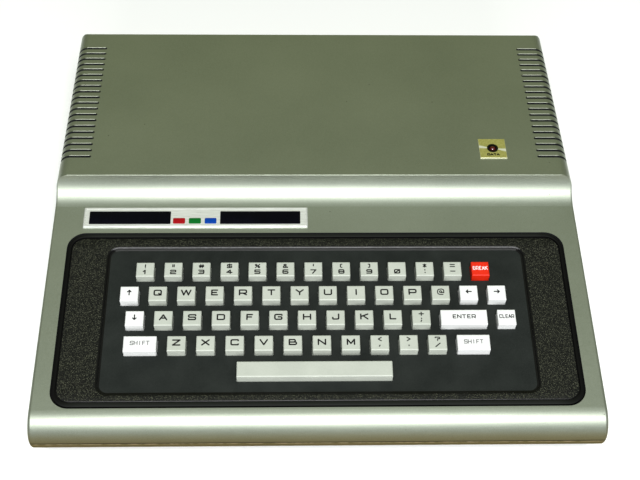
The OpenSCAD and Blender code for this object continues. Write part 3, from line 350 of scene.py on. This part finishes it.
def makeMetal(name, dark, light, roughness, stretch=(1, 1, 1), scale=900, extra=None):
    # metal with streaks drawn out along the axis with the smallest stretch
    look = {"detail": 3.0, "crumble": 0.6, "uneven": 0.08, "bump": (0.15, 0.1)}
    material, tree, shader = startMaterial(name, {"Metallic": 1.0, **(extra or {})})
    mapped = addNode(tree, "Mapping", {"Vector": objectCoords(tree), "Scale": stretch}).outputs["Vector"]
    streak = noise(tree, scale, look["detail"], look["crumble"], mapped)
    feed(tree, shader, "Base Color", ramp(tree, streak, dark, light, noiseSpan))
    polish = (roughness - look["uneven"], roughness + look["uneven"])
    feed(tree, shader, "Roughness", spread(tree, streak, *noiseSpan, *polish))
    addBump(tree, shader, streak, *look["bump"])
    return material


# Each plastic and metal: dark tone, light tone, roughness, then its grain and other settings
casePaint = makeCasePaint()
grainedBlack = makeGrainedBlack()
rimBlack = makePlastic("rimBlack", (0.002, 0.002, 0.002), (0.005, 0.005, 0.005), 0.34, 1500, 0.05,
                       {"Specular IOR Level": 0.2})
rimSheen = makeRimSheen()
lipBlack = makePlastic("lipBlack", (0.004, 0.004, 0.004), (0.012, 0.012, 0.012), 0.5, 1500, 0.6,
                       {"Specular IOR Level": 0.8})
panelBlack = makePlastic("panelBlack", (0.008, 0.010, 0.009), (0.017, 0.020, 0.018), 0.6, 1300, 0.4,
                         {"Specular IOR Level": 0.12})
keyGrey = makePlastic("keyGrey", (0.37, 0.395, 0.345), (0.43, 0.455, 0.40), 0.45, 1200, 0.06)
keyWhite = makePlastic("keyWhite", (0.64, 0.65, 0.64), (0.70, 0.71, 0.70), 0.45, 1200, 0.06)
keyRed = makePlastic("keyRed", (0.54, 0.013, 0.002), (0.62, 0.019, 0.004), 0.45, 1200, 0.06,
                     {"Specular IOR Level": 0.35})
legendBlack = makePlastic("legendBlack", (0.004, 0.004, 0.004), (0.008, 0.008, 0.008), 0.6, 2000, 0.05,
                          {"Specular IOR Level": 0.2})
legendGrey = makePlastic("legendGrey", (0.12, 0.12, 0.12), (0.16, 0.16, 0.16), 0.6, 2000, 0.05,
                         {"Specular IOR Level": 0.2})
legendWhite = makePlastic("legendWhite", (0.84, 0.84, 0.84), (0.9, 0.9, 0.9), 0.5, 2000, 0.05)
blackPlastic = makePlastic("blackPlastic", (0.010, 0.010, 0.010), (0.022, 0.022, 0.022), 0.45, 1300, 0.2)
greyRubber = makePlastic("greyRubber", (0.30, 0.31, 0.29), (0.36, 0.37, 0.34), 0.7, 900, 0.2)
blackRubber = makePlastic("blackRubber", (0.010, 0.010, 0.010), (0.03, 0.03, 0.03), 0.85, 700, 0.5)
boardGreen = makePlastic("boardGreen", (0.018, 0.075, 0.022), (0.04, 0.12, 0.035), 0.35, 260, 0.2)
ribbonGrey = makePlastic("ribbonGrey", (0.30, 0.31, 0.31), (0.38, 0.39, 0.39), 0.55, 1200, 0.2)
chipBlack = makePlastic("chipBlack", (0.012, 0.012, 0.012), (0.03, 0.03, 0.03), 0.6, 1800, 0.3)
capacitorSleeve = makePlastic("capacitorSleeve", (0.02, 0.05, 0.14), (0.03, 0.07, 0.18), 0.25, 500, 0.05)
coilTape = makePlastic("coilTape", (0.42, 0.30, 0.06), (0.52, 0.38, 0.10), 0.4, 400, 0.2)
coreLacquer = makePlastic("coreLacquer", (0.05, 0.03, 0.018), (0.10, 0.06, 0.035), 0.45, 300, 0.3)
badgeSilver = makeMetal("badgeSilver", (0.58, 0.60, 0.56), (0.74, 0.76, 0.72), 0.34, (0.05, 1, 1), 1600,
                        {"Metallic": 0.4})
flatInk = {"Specular IOR Level": 0.08}
badgeInk = makePlastic("badgeInk", (0.001, 0.001, 0.002), (0.002, 0.002, 0.005), 0.2, 900, 0.02, flatInk)
chipRed = makePlastic("chipRed", (0.25, 0.004, 0.006), (0.29, 0.006, 0.009), 0.4, 900, 0.03, flatInk)
chipGreen = makePlastic("chipGreen", (0.002, 0.095, 0.012), (0.003, 0.12, 0.017), 0.4, 900, 0.03, flatInk)
chipBlue = makePlastic("chipBlue", (0.002, 0.036, 0.24), (0.003, 0.045, 0.29), 0.4, 900, 0.03, flatInk)
lampLow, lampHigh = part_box("lamp_plate")
spunBrass = makeSpunBrass((lampLow + lampHigh) / 2)
brassEdge = makeMetal("brassEdge", (0.40, 0.40, 0.26), (0.52, 0.52, 0.36), 0.34, (0.2, 1, 1), 1800,
                      {"Metallic": 0.3})
tinPlate = makeMetal("tinPlate", (0.50, 0.51, 0.50), (0.66, 0.67, 0.66), 0.38, (1, 0.1, 1), 700)
sinkMetal = makeMetal("sinkMetal", (0.42, 0.43, 0.44), (0.56, 0.57, 0.58), 0.42, (1, 1, 0.05))
screwSteel = makeMetal("screwSteel", (0.45, 0.45, 0.44), (0.62, 0.62, 0.60), 0.34)
lampRed = makePlastic("lampRed", (0.04, 0.001, 0.003), (0.07, 0.002, 0.005), 0.12, 600, 0.0,
                      {"Coat Weight": 0.8})

letterKeys = ["key_" + letter for letter in "qwertyuiopasdfghjklzxcvbnm"]
finishes = {
    casePaint: ["upper_case", "lower_case"],
    panelBlack: ["keyboard_panel"],
    keyGrey: ["digit_keys", "sign_keys", "space_bar", *letterKeys],
    keyWhite: ["arrow_keys", "shift_keys", "enter_key", "clear_key"],
    keyRed: ["break_key"],
    greyRubber: ["dome_sheet"],
    boardGreen: ["keyboard_board", "main_board"],
    ribbonGrey: ["ribbon_cable"],
    rimBlack: ["lamp_clip"],
    blackPlastic: ["channel_slider", "power_switch", "power_button", "phone_jack", "cord_gland"],
    lampRed: ["data_lamp"],
    chipBlack: ["logic_chips"],
    tinPlate: ["shield_can", "rf_modulator"],
    coreLacquer: ["transformer"],
    capacitorSleeve: ["filter_capacitor"],
    sinkMetal: ["heat_sink"],
    coilTape: ["line_transformer"],
    blackRubber: ["rubber_feet"],
    screwSteel: ["screws"],
}
for material, names in finishes.items():
    for name in names:
        nodes[name].data.materials.clear()
        nodes[name].data.materials.append(material)
print("Finishes set on the carried-over nodes")

# Mesh helpers
sharpAngle = 35  # degrees; edges that turn more than this stay crisp
weldGap = 0.0001  # mm within which the bands' shared corners are joined


def finishPiece(name, bm, material, body="chassis", stands=()):
    mesh = bpy.data.meshes.new(name)
    bmesh.ops.recalc_face_normals(bm, faces=bm.faces)
    bm.to_mesh(mesh)
    bm.free()
    mesh.shade_smooth()
    mesh.set_sharp_from_angle(angle=radians(sharpAngle))
    mesh.materials.append(material)
    piece = bpy.data.objects.new(name, mesh)
    bpy.context.scene.collection.objects.link(piece)
    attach(piece, body)
    if stands:
        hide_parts(*stands)
    return piece


def roundLoop(bm, wide, deep, radius, height, middle, steps):
    # the edges of a rounded rectangle in mm, in order
    loop = []
    for quarter, (sx, sy) in enumerate(((1, 1), (-1, 1), (-1, -1), (1, -1))):
        for step in range(steps + 1):
            turn = (quarter + step / steps) * pi / 2
            x = middle[0] + sx * (wide / 2 - radius) + radius * cos(turn)
            y = middle[1] + sy * (deep / 2 - radius) + radius * sin(turn)
            loop.append(bm.verts.new(Vector((x, y, height)) * mm))
    return [bm.edges.new(pair) for pair in zip(loop, loop[1:] + loop[:1])]


def stackLoops(bm, loops, steps, bandFinishes=None, closed=False):
    # bridges each rounded rectangle to the next, and caps the two ends unless the stack closes on itself
    nextLoops = loops[1:] + loops[:1] if closed else loops[1:]
    for low, high, finish in zip(loops, nextLoops, bandFinishes or [0] * len(loops)):
        edges = roundLoop(bm, *low, steps) + roundLoop(bm, *high, steps)
        for face in bmesh.ops.bridge_loops(bm, edges=edges)["faces"]:
            face.material_index = finish
    if not closed:
        for end in (loops[0], loops[-1]):
            bmesh.ops.edgeloop_fill(bm, edges=roundLoop(bm, *end, steps))
    bmesh.ops.remove_doubles(bm, verts=bm.verts, dist=weldGap * mm)


# The bezel: round smooth rim, groove, grained field, and the recess of the key panel with a round lip
bezel = {
    "wide": 342, "deep": 132.5, "front": 2.1, "radius": 12, "cornerSteps": 10,
    "gap": 0.9, "rim": 3.8, "rimTop": -0.1, "crown": 0.2, "rimSteps": 8,
    "sideShare": 0.68, "rearShare": 0.76,
    "groove": 0.9, "grooveDeep": 1.1, "field": -0.9, "fieldEdge": (0.4, 0.2),
    "panelWide": 282, "panelDeep": 108, "panelFront": 11.5, "panelTop": -2.3, "panelThick": 2,
    "recessRadius": 5.5, "wall": 1.2, "lip": 1.4, "lipDrop": 0.85, "lipSteps": 6,
    "foot": 0.1, "footRise": 0.02, "pocket": 5.35, "under": -3.0, "lap": 4, "frontLap": 1.5,
}


def makeBezel():
    b = bezel
    panelMiddle = (0, b["front"] + b["panelFront"] + b["panelDeep"] / 2)
    panelRear = panelMiddle[1] + b["panelDeep"] / 2
    grained, black, lip, paintedSheen = range(4)
    loops = []
    bandFinishes = []  # the finish of the band from each loop to the next

    def addLoop(loop, finish):
        loops.append(loop)
        bandFinishes.append(finish)

    def addRim(inset, height, finish):
        # the rim is narrower at the sides and the rear than along the front
        side = inset * b["sideShare"]
        rear = inset * b["rearShare"]
        middle = (0, b["front"] + (b["deep"] + inset - rear) / 2)
        wide = b["wide"] - 2 * side
        addLoop((wide, b["deep"] - inset - rear, b["radius"] - side, height, middle), finish)

    def addRecess(grow, height, finish):
        wide = b["panelWide"] + 2 * grow
        deep = b["panelDeep"] + 2 * grow
        addLoop((wide, deep, b["recessRadius"] + grow, height, panelMiddle), finish)

    addRim(b["gap"], b["under"], black)
    for step in range(b["rimSteps"] + 1):
        share = step / b["rimSteps"]
        inset = b["gap"] + (b["rim"] - b["gap"]) * share
        height = b["rimTop"] - b["crown"] * (2 * share - 1) ** 2
        addRim(inset, height, paintedSheen if share < 1 else black)
    grooveEnd = b["rim"] + b["groove"]
    edgeWide, edgeDrop = b["fieldEdge"]
    addRim(b["rim"], b["field"] - b["grooveDeep"], black)
    addRim(grooveEnd, b["field"] - b["grooveDeep"], black)
    addRim(grooveEnd, b["field"] - edgeDrop, black)
    addRim(grooveEnd + edgeWide, b["field"], grained)
    drop = b["lipDrop"] * (b["field"] - b["panelTop"])
    for step in range(b["lipSteps"] + 1):
        turn = pi / 2 * step / b["lipSteps"]
        addRecess(b["wall"] + b["lip"] * (1 - sin(turn)), b["field"] - drop * (1 - cos(turn)), lip)
    addRecess(0, b["panelTop"] + b["footRise"], black)
    addRecess(0, b["panelTop"] - b["foot"], black)
    addRecess(b["pocket"], b["panelTop"] - b["foot"], black)
    addRecess(b["pocket"], b["panelTop"] - b["panelThick"], black)
    flangeMiddle = (0, b["front"] + (b["deep"] + b["lap"] - b["frontLap"]) / 2)
    flange = (b["wide"] + 2 * b["lap"], b["deep"] + b["lap"] + b["frontLap"], b["radius"])
    for height in (b["panelTop"] - b["panelThick"], b["under"]):
        addLoop((*flange, height, flangeMiddle), black)
    bm = bmesh.new()
    stackLoops(bm, loops, b["cornerSteps"], bandFinishes, closed=True)
    for face in bm.faces:
        atRear = face.calc_center_median().y / mm > panelRear
        if face.material_index == lip and not atRear:
            face.material_index = black  # only the lip's rear run is bright
    bm.transform(deckFrame)
    piece = finishPiece("bezelFrame", bm, grainedBlack, stands=["keyboard_bezel"])
    for material in (rimBlack, lipBlack, rimSheen):
        piece.data.materials.append(material)


makeBezel()
print("Bezel modelled")

# Stroke letters: points on a grid as two digits, "~" rounds the corners, "~~" more, "o" closes the stroke
strokes = {
    "A": "00 36 60,12 52", "B": "00 06,~06 56 53 03,~03 63 60 00", "C": "~65 66 06 00 60 61",
    "D": "00 06,~06 66 60 00", "E": "66 06 00 60,03 53", "F": "66 06 00,03 53",
    "G": "~65 66 06 00 60 63 33", "H": "00 06,60 66,03 63", "I": "30 36", "J": "~66 60 00 02",
    "K": "00 06,66 03,24 60", "L": "06 00 60", "M": "00 06 31 66 60", "N": "00 06 60 66",
    "O": "~o00 60 66 06", "P": "00 06,~06 66 62 02", "Q": "~o00 60 66 06,42 60",
    "R": "00 06,~06 66 62 02,32 60", "S": "~65 66 06 03 63 60 00 01", "T": "06 66,36 30",
    "U": "~06 00 60 66", "V": "06 30 66", "W": "06 20 46 60 86", "X": "00 66,06 60",
    "Y": "06 33 66,33 30", "Z": "06 66 00 60",
    "1": "14 36 30", "2": "~05 06 66 63 03 00,00 60", "3": "~06 66 60 00,13 63", "4": "40 46 02 62",
    "5": "66 06 03,~03 63 60 00", "6": "~66 06 00 60 63 03", "7": "06 66 20",
    "8": "~o00 60 66 06,03 63", "9": "~00 60 66 06 03 63", "0": "~o00 60 66 06,00 66",
    "!": "36 32,30 30", '"': "26 22,46 42", "#": "10 26,40 56,02 62,04 64",
    "$": "~65 66 06 03 63 60 00 01,37 30", "%": "00 66,~o04 24 26 06,~o40 60 62 42",
    "&": "~61 40 00 02 44 46 16 14 60", "'": "36 33", "(": "~46 26 20 40", ")": "~26 46 40 20",
    "*": "36 30,15 51,55 11", "=": "05 65,01 61", "-": "03 63", ":": "36 35,31 30", "+": "03 63,30 36",
    ";": "36 35,32 20", "<": "56 13 50", ",": "33 21", ">": "16 53 10", ".": "33 32",
    "?": "~05 06 66 63 33 32,30 30", "/": "00 66", "@": "~~62 66 06 00 50,~~o22 42 44 24,42 62",
    "up": "30 36,14 36 54", "down": "36 30,12 30 52", "left": "63 03,25 03 21", "right": "03 63,45 63 41",
}
lettering = {
    "grid": 6, "gridWide": {"W": 8}, "slim": {"E": 0.8, "F": 0.76, "J": 0.85, "L": 0.78, "T": 0.92},
    "round": 1.6, "arcSteps": 4, "jointSides": 10, "thick": 0.1,
}


def roundCorners(points, radius, closed):
    # swaps each inner corner for a short arc, drawn as a quadratic curve
    count = len(points)
    rounded = []
    for index, corner in enumerate(points):
        if not closed and index in (0, count - 1):
            rounded.append(corner)
            continue
        before = points[index - 1]
        after = points[(index + 1) % count]
        reach = min(radius, (before - corner).length / 2, (after - corner).length / 2)
        first = corner + (before - corner).normalized() * reach
        last = corner + (after - corner).normalized() * reach
        for step in range(lettering["arcSteps"] + 1):
            t = step / lettering["arcSteps"]
            rounded.append(first * (1 - t) ** 2 + corner * 2 * t * (1 - t) + last * t ** 2)
    return rounded


def addGlyph(bm, glyph, middle, wide, high, stroke):
    # one letter as flat bars with round joints, centred on middle, in mm
    grid = lettering["grid"]
    thick = lettering["thick"]
    unit = Vector((wide / grid * lettering["slim"].get(glyph, 1), high / grid))
    gridMiddle = Vector((lettering["gridWide"].get(glyph, grid) / 2, grid / 2))
    for line in strokes[glyph].split(","):
        closed = "o" in line
        spots = [Vector((int(pair[0]), int(pair[1]))) for pair in line.lstrip("~o").split()]
        points = [Vector(middle) + (spot - gridMiddle) * unit for spot in spots]
        if "~" in line:
            points = roundCorners(points, lettering["round"] * line.count("~") * min(unit), closed)
        if closed:
            points.append(points[0])
        for point in points:
            bmesh.ops.create_cone(
                bm, cap_ends=True, segments=lettering["jointSides"], radius1=stroke / 2, radius2=stroke / 2,
                depth=thick, matrix=Matrix.Translation((*point, 0)),
            )
        for start, end in zip(points, points[1:]):
            along = end - start
            bar = (
                Matrix.Translation((*(start + end) / 2, 0))
                @ Matrix.Rotation(atan2(along.y, along.x), 4, "Z")
                @ Matrix.Diagonal((along.length, stroke, thick, 1))
            )
            bmesh.ops.create_cube(bm, size=1, matrix=bar)


def makeLegend(name, glyphs, place, material, body):
    # glyphs: (glyph, x, y, wide, high, stroke) in mm on a plane, moved to its place as a thin inlay
    bm = bmesh.new()
    for glyph, x, y, wide, high, stroke in glyphs:
        addGlyph(bm, glyph, (x, y), wide, high, stroke)
    bm.transform(place @ Matrix.Scale(mm, 4))
    finishPiece(name, bm, material, body)


# Legends: width, height and stroke of a glyph, and how far up its key it sits
legend = {
    "letter": (4.6, 3.65, 1.0), "letterUp": 0.75, "digit": (3.4, 2.7, 0.85), "digitUp": -1.9,
    "sign": (2.9, 2.5, 0.75), "signUp": 2.65, "signDown": -1.85, "at": (4.2, 4.2, 0.7),
    "arrow": (3.4, 3.5, 0.8), "arrowUp": 0.9, "wordUp": 0.6,
    "SHIFT": {"letter": (1.9, 2.6, 0.5), "step": 2.6},
    "ENTER": {"letter": (2.3, 2.5, 0.6), "step": 3.2},
    "CLEAR": {"letter": (1.45, 2.4, 0.5), "step": 2.0},
    "BREAK": {"letter": (1.45, 2.5, 0.42), "step": 2.05},
}
# The keys' columns and rows, counted in key pitches from the 1 key
keyboard = {
    "letters": (("qwertyuiop", 0.5), ("asdfghjkl", 0.75), ("zxcvbnm", 1.25)),
    "digits": ("!\"#$%&'() ", "1234567890"), "at": (10.5, 1),
    "signs": (
        ("*", ":", 10, 0), ("=", "-", 11, 0), ("+", ";", 9.75, 2),
        ("<", ",", 8.25, 3), (">", ".", 9.25, 3), ("?", "/", 10.25, 3),
    ),
    "arrows": (("up", -0.5, 1), ("left", 11.5, 1), ("right", 12.5, 1), ("down", -0.25, 2)),
    "SHIFT": ((0, 3), (11.5, 3)), "ENTER": ((11.25, 2),), "CLEAR": ((12.75, 2),), "BREAK": ((12, 0),),
}
qLow, qHigh = deckSpan("key_q")
pitch = deckSpan("key_w")[0].x - qLow.x
qColumn = keyboard["letters"][0][1]
firstX = (qLow.x + qHigh.x) / 2 - qColumn * pitch
firstY = (qLow.y + qHigh.y) / 2 + pitch


def keySpot(column, row):
    return (firstX + column * pitch) / mm, (firstY - row * pitch) / mm


def keyGlyph(glyph, column, row, size, up):
    # one glyph on its key, placed on the whole keyboard's plane
    x, y = keySpot(column, row)
    return glyph, x, y + legend[up], *legend[size]


def wordGlyphs(word, letter, step, x=0.0, y=0.0):
    start = x - step * (len(word) - 1) / 2
    return [(glyph, start + index * step, y, *letter) for index, glyph in enumerate(word)]


def keyWord(word, column, row):
    x, y = keySpot(column, row)
    return wordGlyphs(word, legend[word]["letter"], legend[word]["step"], x, y + legend["wordUp"])


def makeLegends():
    top = deckFrame @ Matrix.Translation((0, 0, qHigh.z))
    for row, (letters, start) in enumerate(keyboard["letters"], 1):
        for column, letter in enumerate(letters):
            glyph = keyGlyph(letter.upper(), start + column, row, "letter", "letterUp")
            makeLegend("legend_" + letter, [glyph], top, legendBlack, "key_" + letter)
    digits = []
    for column, (upper, lower) in enumerate(zip(*keyboard["digits"])):
        if upper.strip():
            digits.append(keyGlyph(upper, column, 0, "sign", "signUp"))
        digits.append(keyGlyph(lower, column, 0, "digit", "digitUp"))
    makeLegend("legend_digits", digits, top, legendBlack, "digit_keys")
    signs = [keyGlyph("@", *keyboard["at"], "at", "letterUp")]
    for upper, lower, column, row in keyboard["signs"]:
        signs.append(keyGlyph(upper, column, row, "sign", "signUp"))
        signs.append(keyGlyph(lower, column, row, "sign", "signDown"))
    makeLegend("legend_signs", signs, top, legendBlack, "sign_keys")
    arrows = [keyGlyph(*arrow, "arrow", "arrowUp") for arrow in keyboard["arrows"]]
    makeLegend("legend_arrows", arrows, top, legendBlack, "arrow_keys")
    for word, node, material, slot in (
        ("SHIFT", "shift_keys", legendGrey, "panel_black"),
        ("ENTER", "enter_key", legendBlack, "panel_black"),
        ("CLEAR", "clear_key", legendBlack, "panel_black"),
        ("BREAK", "break_key", legendWhite, "key_white"),
    ):
        glyphs = [glyph for spot in keyboard[word] for glyph in keyWord(word, *spot)]
        makeLegend("legend_" + word.lower(), glyphs, top, material, node)


makeLegends()
print("Key legends inlaid")

# The badge: bright bevelled frame, two bare black panels and three colour chips
badge = {
    "bevel": 0.8, "rim": 1.8, "lean": 0.3, "sink": 0.3,
    "corner": 0.5, "topCorner": 0.4, "sinkCorner": 0.3, "cornerSteps": 2,
    "rise": 0.4, "soft": 0.2, "softShare": 0.3, "plaqueSteps": 4,
    "panels": ((-158, -101.5), (-67.1, -11.1)), "panelDeep": 10.6, "panelDown": 0.6, "panelRadius": 0.6,
    "chips": ((-99.8, -91.4), (-88.8, -80.4), (-77.8, -69.6)),
    "chipDeep": 4.6, "chipDown": 3.3, "chipRadius": 0.8,
}


def makePlaque(name, span, deep, v, base, material, radius):
    # a small plate with softened top edges, let into the badge
    wide = span[1] - span[0]
    middle = ((span[0] + span[1]) / 2, v)
    top = base + badge["rise"]
    soft = badge["soft"]
    half = badge["softShare"] * soft  # inset and drop halfway round the soft edge
    bm = bmesh.new()
    stackLoops(bm, [
        (wide, deep, radius, base, middle),
        (wide, deep, radius, top - soft, middle),
        (wide - 2 * half, deep - 2 * half, radius - half, top - half, middle),
        (wide - 2 * soft, deep - 2 * soft, radius - soft, top, middle),
    ], badge["plaqueSteps"])
    bm.transform(deckFrame)
    finishPiece(name, bm, material)


def makeBadge():
    b = badge
    low, high = deckSpan("badge_plate")
    wide, deep = (high - low).xy / mm
    middle = (low + high).xy / 2 / mm
    top = high.z / mm
    base = top - b["sink"]
    sinkWide = wide - 2 * b["rim"]
    sinkDeep = deep - 2 * b["rim"]
    bm = bmesh.new()
    stackLoops(bm, [
        (wide, deep, b["corner"], low.z / mm, middle),
        (wide, deep, b["corner"], top - b["bevel"], middle),
        (wide - 2 * b["bevel"], deep - 2 * b["bevel"], b["topCorner"], top, middle),
        (sinkWide + b["lean"], sinkDeep + b["lean"], b["topCorner"], top, middle),
        (sinkWide, sinkDeep, b["sinkCorner"], base, middle),
    ], b["cornerSteps"])
    bm.transform(deckFrame)
    finishPiece("badgeFrame", bm, badgeSilver, stands=["badge_plate"])
    panelV = middle.y - b["panelDown"]
    for side, span in zip(("Left", "Right"), b["panels"]):
        makePlaque("badgePanel" + side, span, b["panelDeep"], panelV, base, badgeInk, b["panelRadius"])
    chipV = middle.y - b["chipDown"]
    for name, span, ink in zip(("Red", "Green", "Blue"), b["chips"], (chipRed, chipGreen, chipBlue)):
        makePlaque("badgeChip" + name, span, b["chipDeep"], chipV, base, ink, b["chipRadius"])


makeBadge()
print("Badge modelled")

# The lamp plate: spun brass with bright bevels, and its label
lamp = {
    "bevel": 0.2, "corner": 0.3, "topCorner": 0.2, "cornerSteps": 8, "hole": 3.6, "holeSlack": 1.005,
    "label": (1.6, 1.5, 0.7), "labelStep": 2.25, "labelDown": 6.2,
}


def makeLampPlate():
    middle = (lampLow + lampHigh) / 2
    wide, deep, thick = (lampHigh - lampLow) / mm
    topWide = wide - 2 * lamp["bevel"]
    topDeep = deep - 2 * lamp["bevel"]
    holeWide = 2 * lamp["hole"] * lamp["holeSlack"]  # a hair over the circle, so no edge shrinks to nothing
    place = Matrix.Translation((middle.x, middle.y, lampLow.z))
    bm = bmesh.new()
    edge, spun = range(2)
    stackLoops(bm, [
        (wide, deep, lamp["corner"], 0, (0, 0)),
        (wide, deep, lamp["corner"], thick - lamp["bevel"], (0, 0)),
        (topWide, topDeep, lamp["topCorner"], thick, (0, 0)),
        (holeWide, holeWide, lamp["hole"], thick, (0, 0)),
        (holeWide, holeWide, lamp["hole"], 0, (0, 0)),
    ], lamp["cornerSteps"], [edge, edge, spun, edge, edge], closed=True)
    bm.transform(place)
    plate = finishPiece("lampPlate", bm, brassEdge, stands=["lamp_plate"])
    plate.data.materials.append(spunBrass)
    top = place @ Matrix.Translation((0, -lamp["labelDown"] * mm, thick * mm))
    glyphs = wordGlyphs("DATA", lamp["label"], lamp["labelStep"])
    makeLegend("lampLabel", glyphs, top, legendBlack, "chassis")


makeLampPlate()
print("Lamp plate modelled")

# Pale floor and soft studio light, in metres; reflections see a strip of brown table in front
studio = {
    "floor": (0.97, 0.97, 0.97), "floorReach": (4, 4), "rough": 0.9, "gloss": 0.1,
    "table": (0.185, 0.135, 0.03), "tableReach": (0.7, 0.4), "tableY": -0.561, "tableLift": 0.0005,
    "lightSize": (1.0, 0.6), "away": 2.2, "keyPower": 60, "keyUp": 56, "fillPower": 22, "fillUp": 18,
    "horizonTone": (0.09, 0.10, 0.10), "frontTone": (0.31, 0.36, 0.40), "frontSpan": (0.02, 0.5),
    "backTone": (0.19, 0.215, 0.05), "backSpan": (-0.45, 0.6), "backdrop": (0.62, 0.63, 0.63),
    "sideShare": 0.45, "sideSpan": (0.35, 0.85),
}


def makeGround(name, colour, reach, y=0.0, height=0.0):
    bm = bmesh.new()
    bmesh.ops.create_grid(bm, x_segments=1, y_segments=1, size=1)
    bm.transform(Matrix.Translation((0, y, height)) @ Matrix.Diagonal((*reach, 1, 1)))
    mesh = bpy.data.meshes.new(name)
    bm.to_mesh(mesh)
    bm.free()
    settings = {
        "Base Color": (*colour, 1), "Roughness": studio["rough"], "Specular IOR Level": studio["gloss"],
    }
    mesh.materials.append(startMaterial(name, settings)[0])
    ground = bpy.data.objects.new(name, mesh)
    bpy.context.scene.collection.objects.link(ground)
    return ground


def makeLight(name, up, power):
    # an area light in front, at an angle up from the floor
    data = bpy.data.lights.new(name, "AREA")
    data.shape = "RECTANGLE"
    data.size, data.size_y = studio["lightSize"]
    data.energy = power
    light = bpy.data.objects.new(name, data)
    turn = Matrix.Rotation(radians(90 - up), 4, "X")
    light.matrix_world = turn @ Matrix.Translation((0, 0, studio["away"]))
    bpy.context.scene.collection.objects.link(light)
    return light


def makeWorld():
    # cool in front, olive behind and dimmer to the sides, with a pale backdrop that only the camera sees
    world = bpy.data.worlds.new("studioWorld")
    world.use_nodes = True
    bpy.context.scene.world = world
    tree = world.node_tree
    toward = axes(tree, addNode(tree, "TexCoord").outputs["Generated"])
    tone = ramp(tree, toward["Z"], studio["horizonTone"], studio["frontTone"], studio["frontSpan"])
    behind = spread(tree, toward["Y"], *studio["backSpan"])
    tone = mixColours(tree, behind, tone, studio["backTone"])
    seen = addNode(tree, "LightPath").outputs["Is Camera Ray"]
    tone = mixColours(tree, seen, tone, studio["backdrop"])
    aside = maths(tree, "ABSOLUTE", toward["X"])
    strength = spread(tree, aside, *studio["sideSpan"], 1.0, studio["sideShare"])
    background = tree.nodes["Background"]
    feed(tree, background, "Color", tone)
    feed(tree, background, "Strength", strength)


def makeStudio():
    makeGround("paleFloor", studio["floor"], studio["floorReach"])
    table = makeGround("brownTable", studio["table"], studio["tableReach"], studio["tableY"],
                       studio["tableLift"])
    for ray in ("camera", "diffuse", "transmission", "volume_scatter", "shadow"):
        setattr(table, "visible_" + ray, False)
    makeLight("keyLight", studio["keyUp"], studio["keyPower"])
    fill = makeLight("fillLight", studio["fillUp"], studio["fillPower"])
    fill.visible_glossy = False
    makeWorld()
    bpy.context.scene.view_settings.view_transform = "Standard"


makeStudio()
print("Floor and lights set")
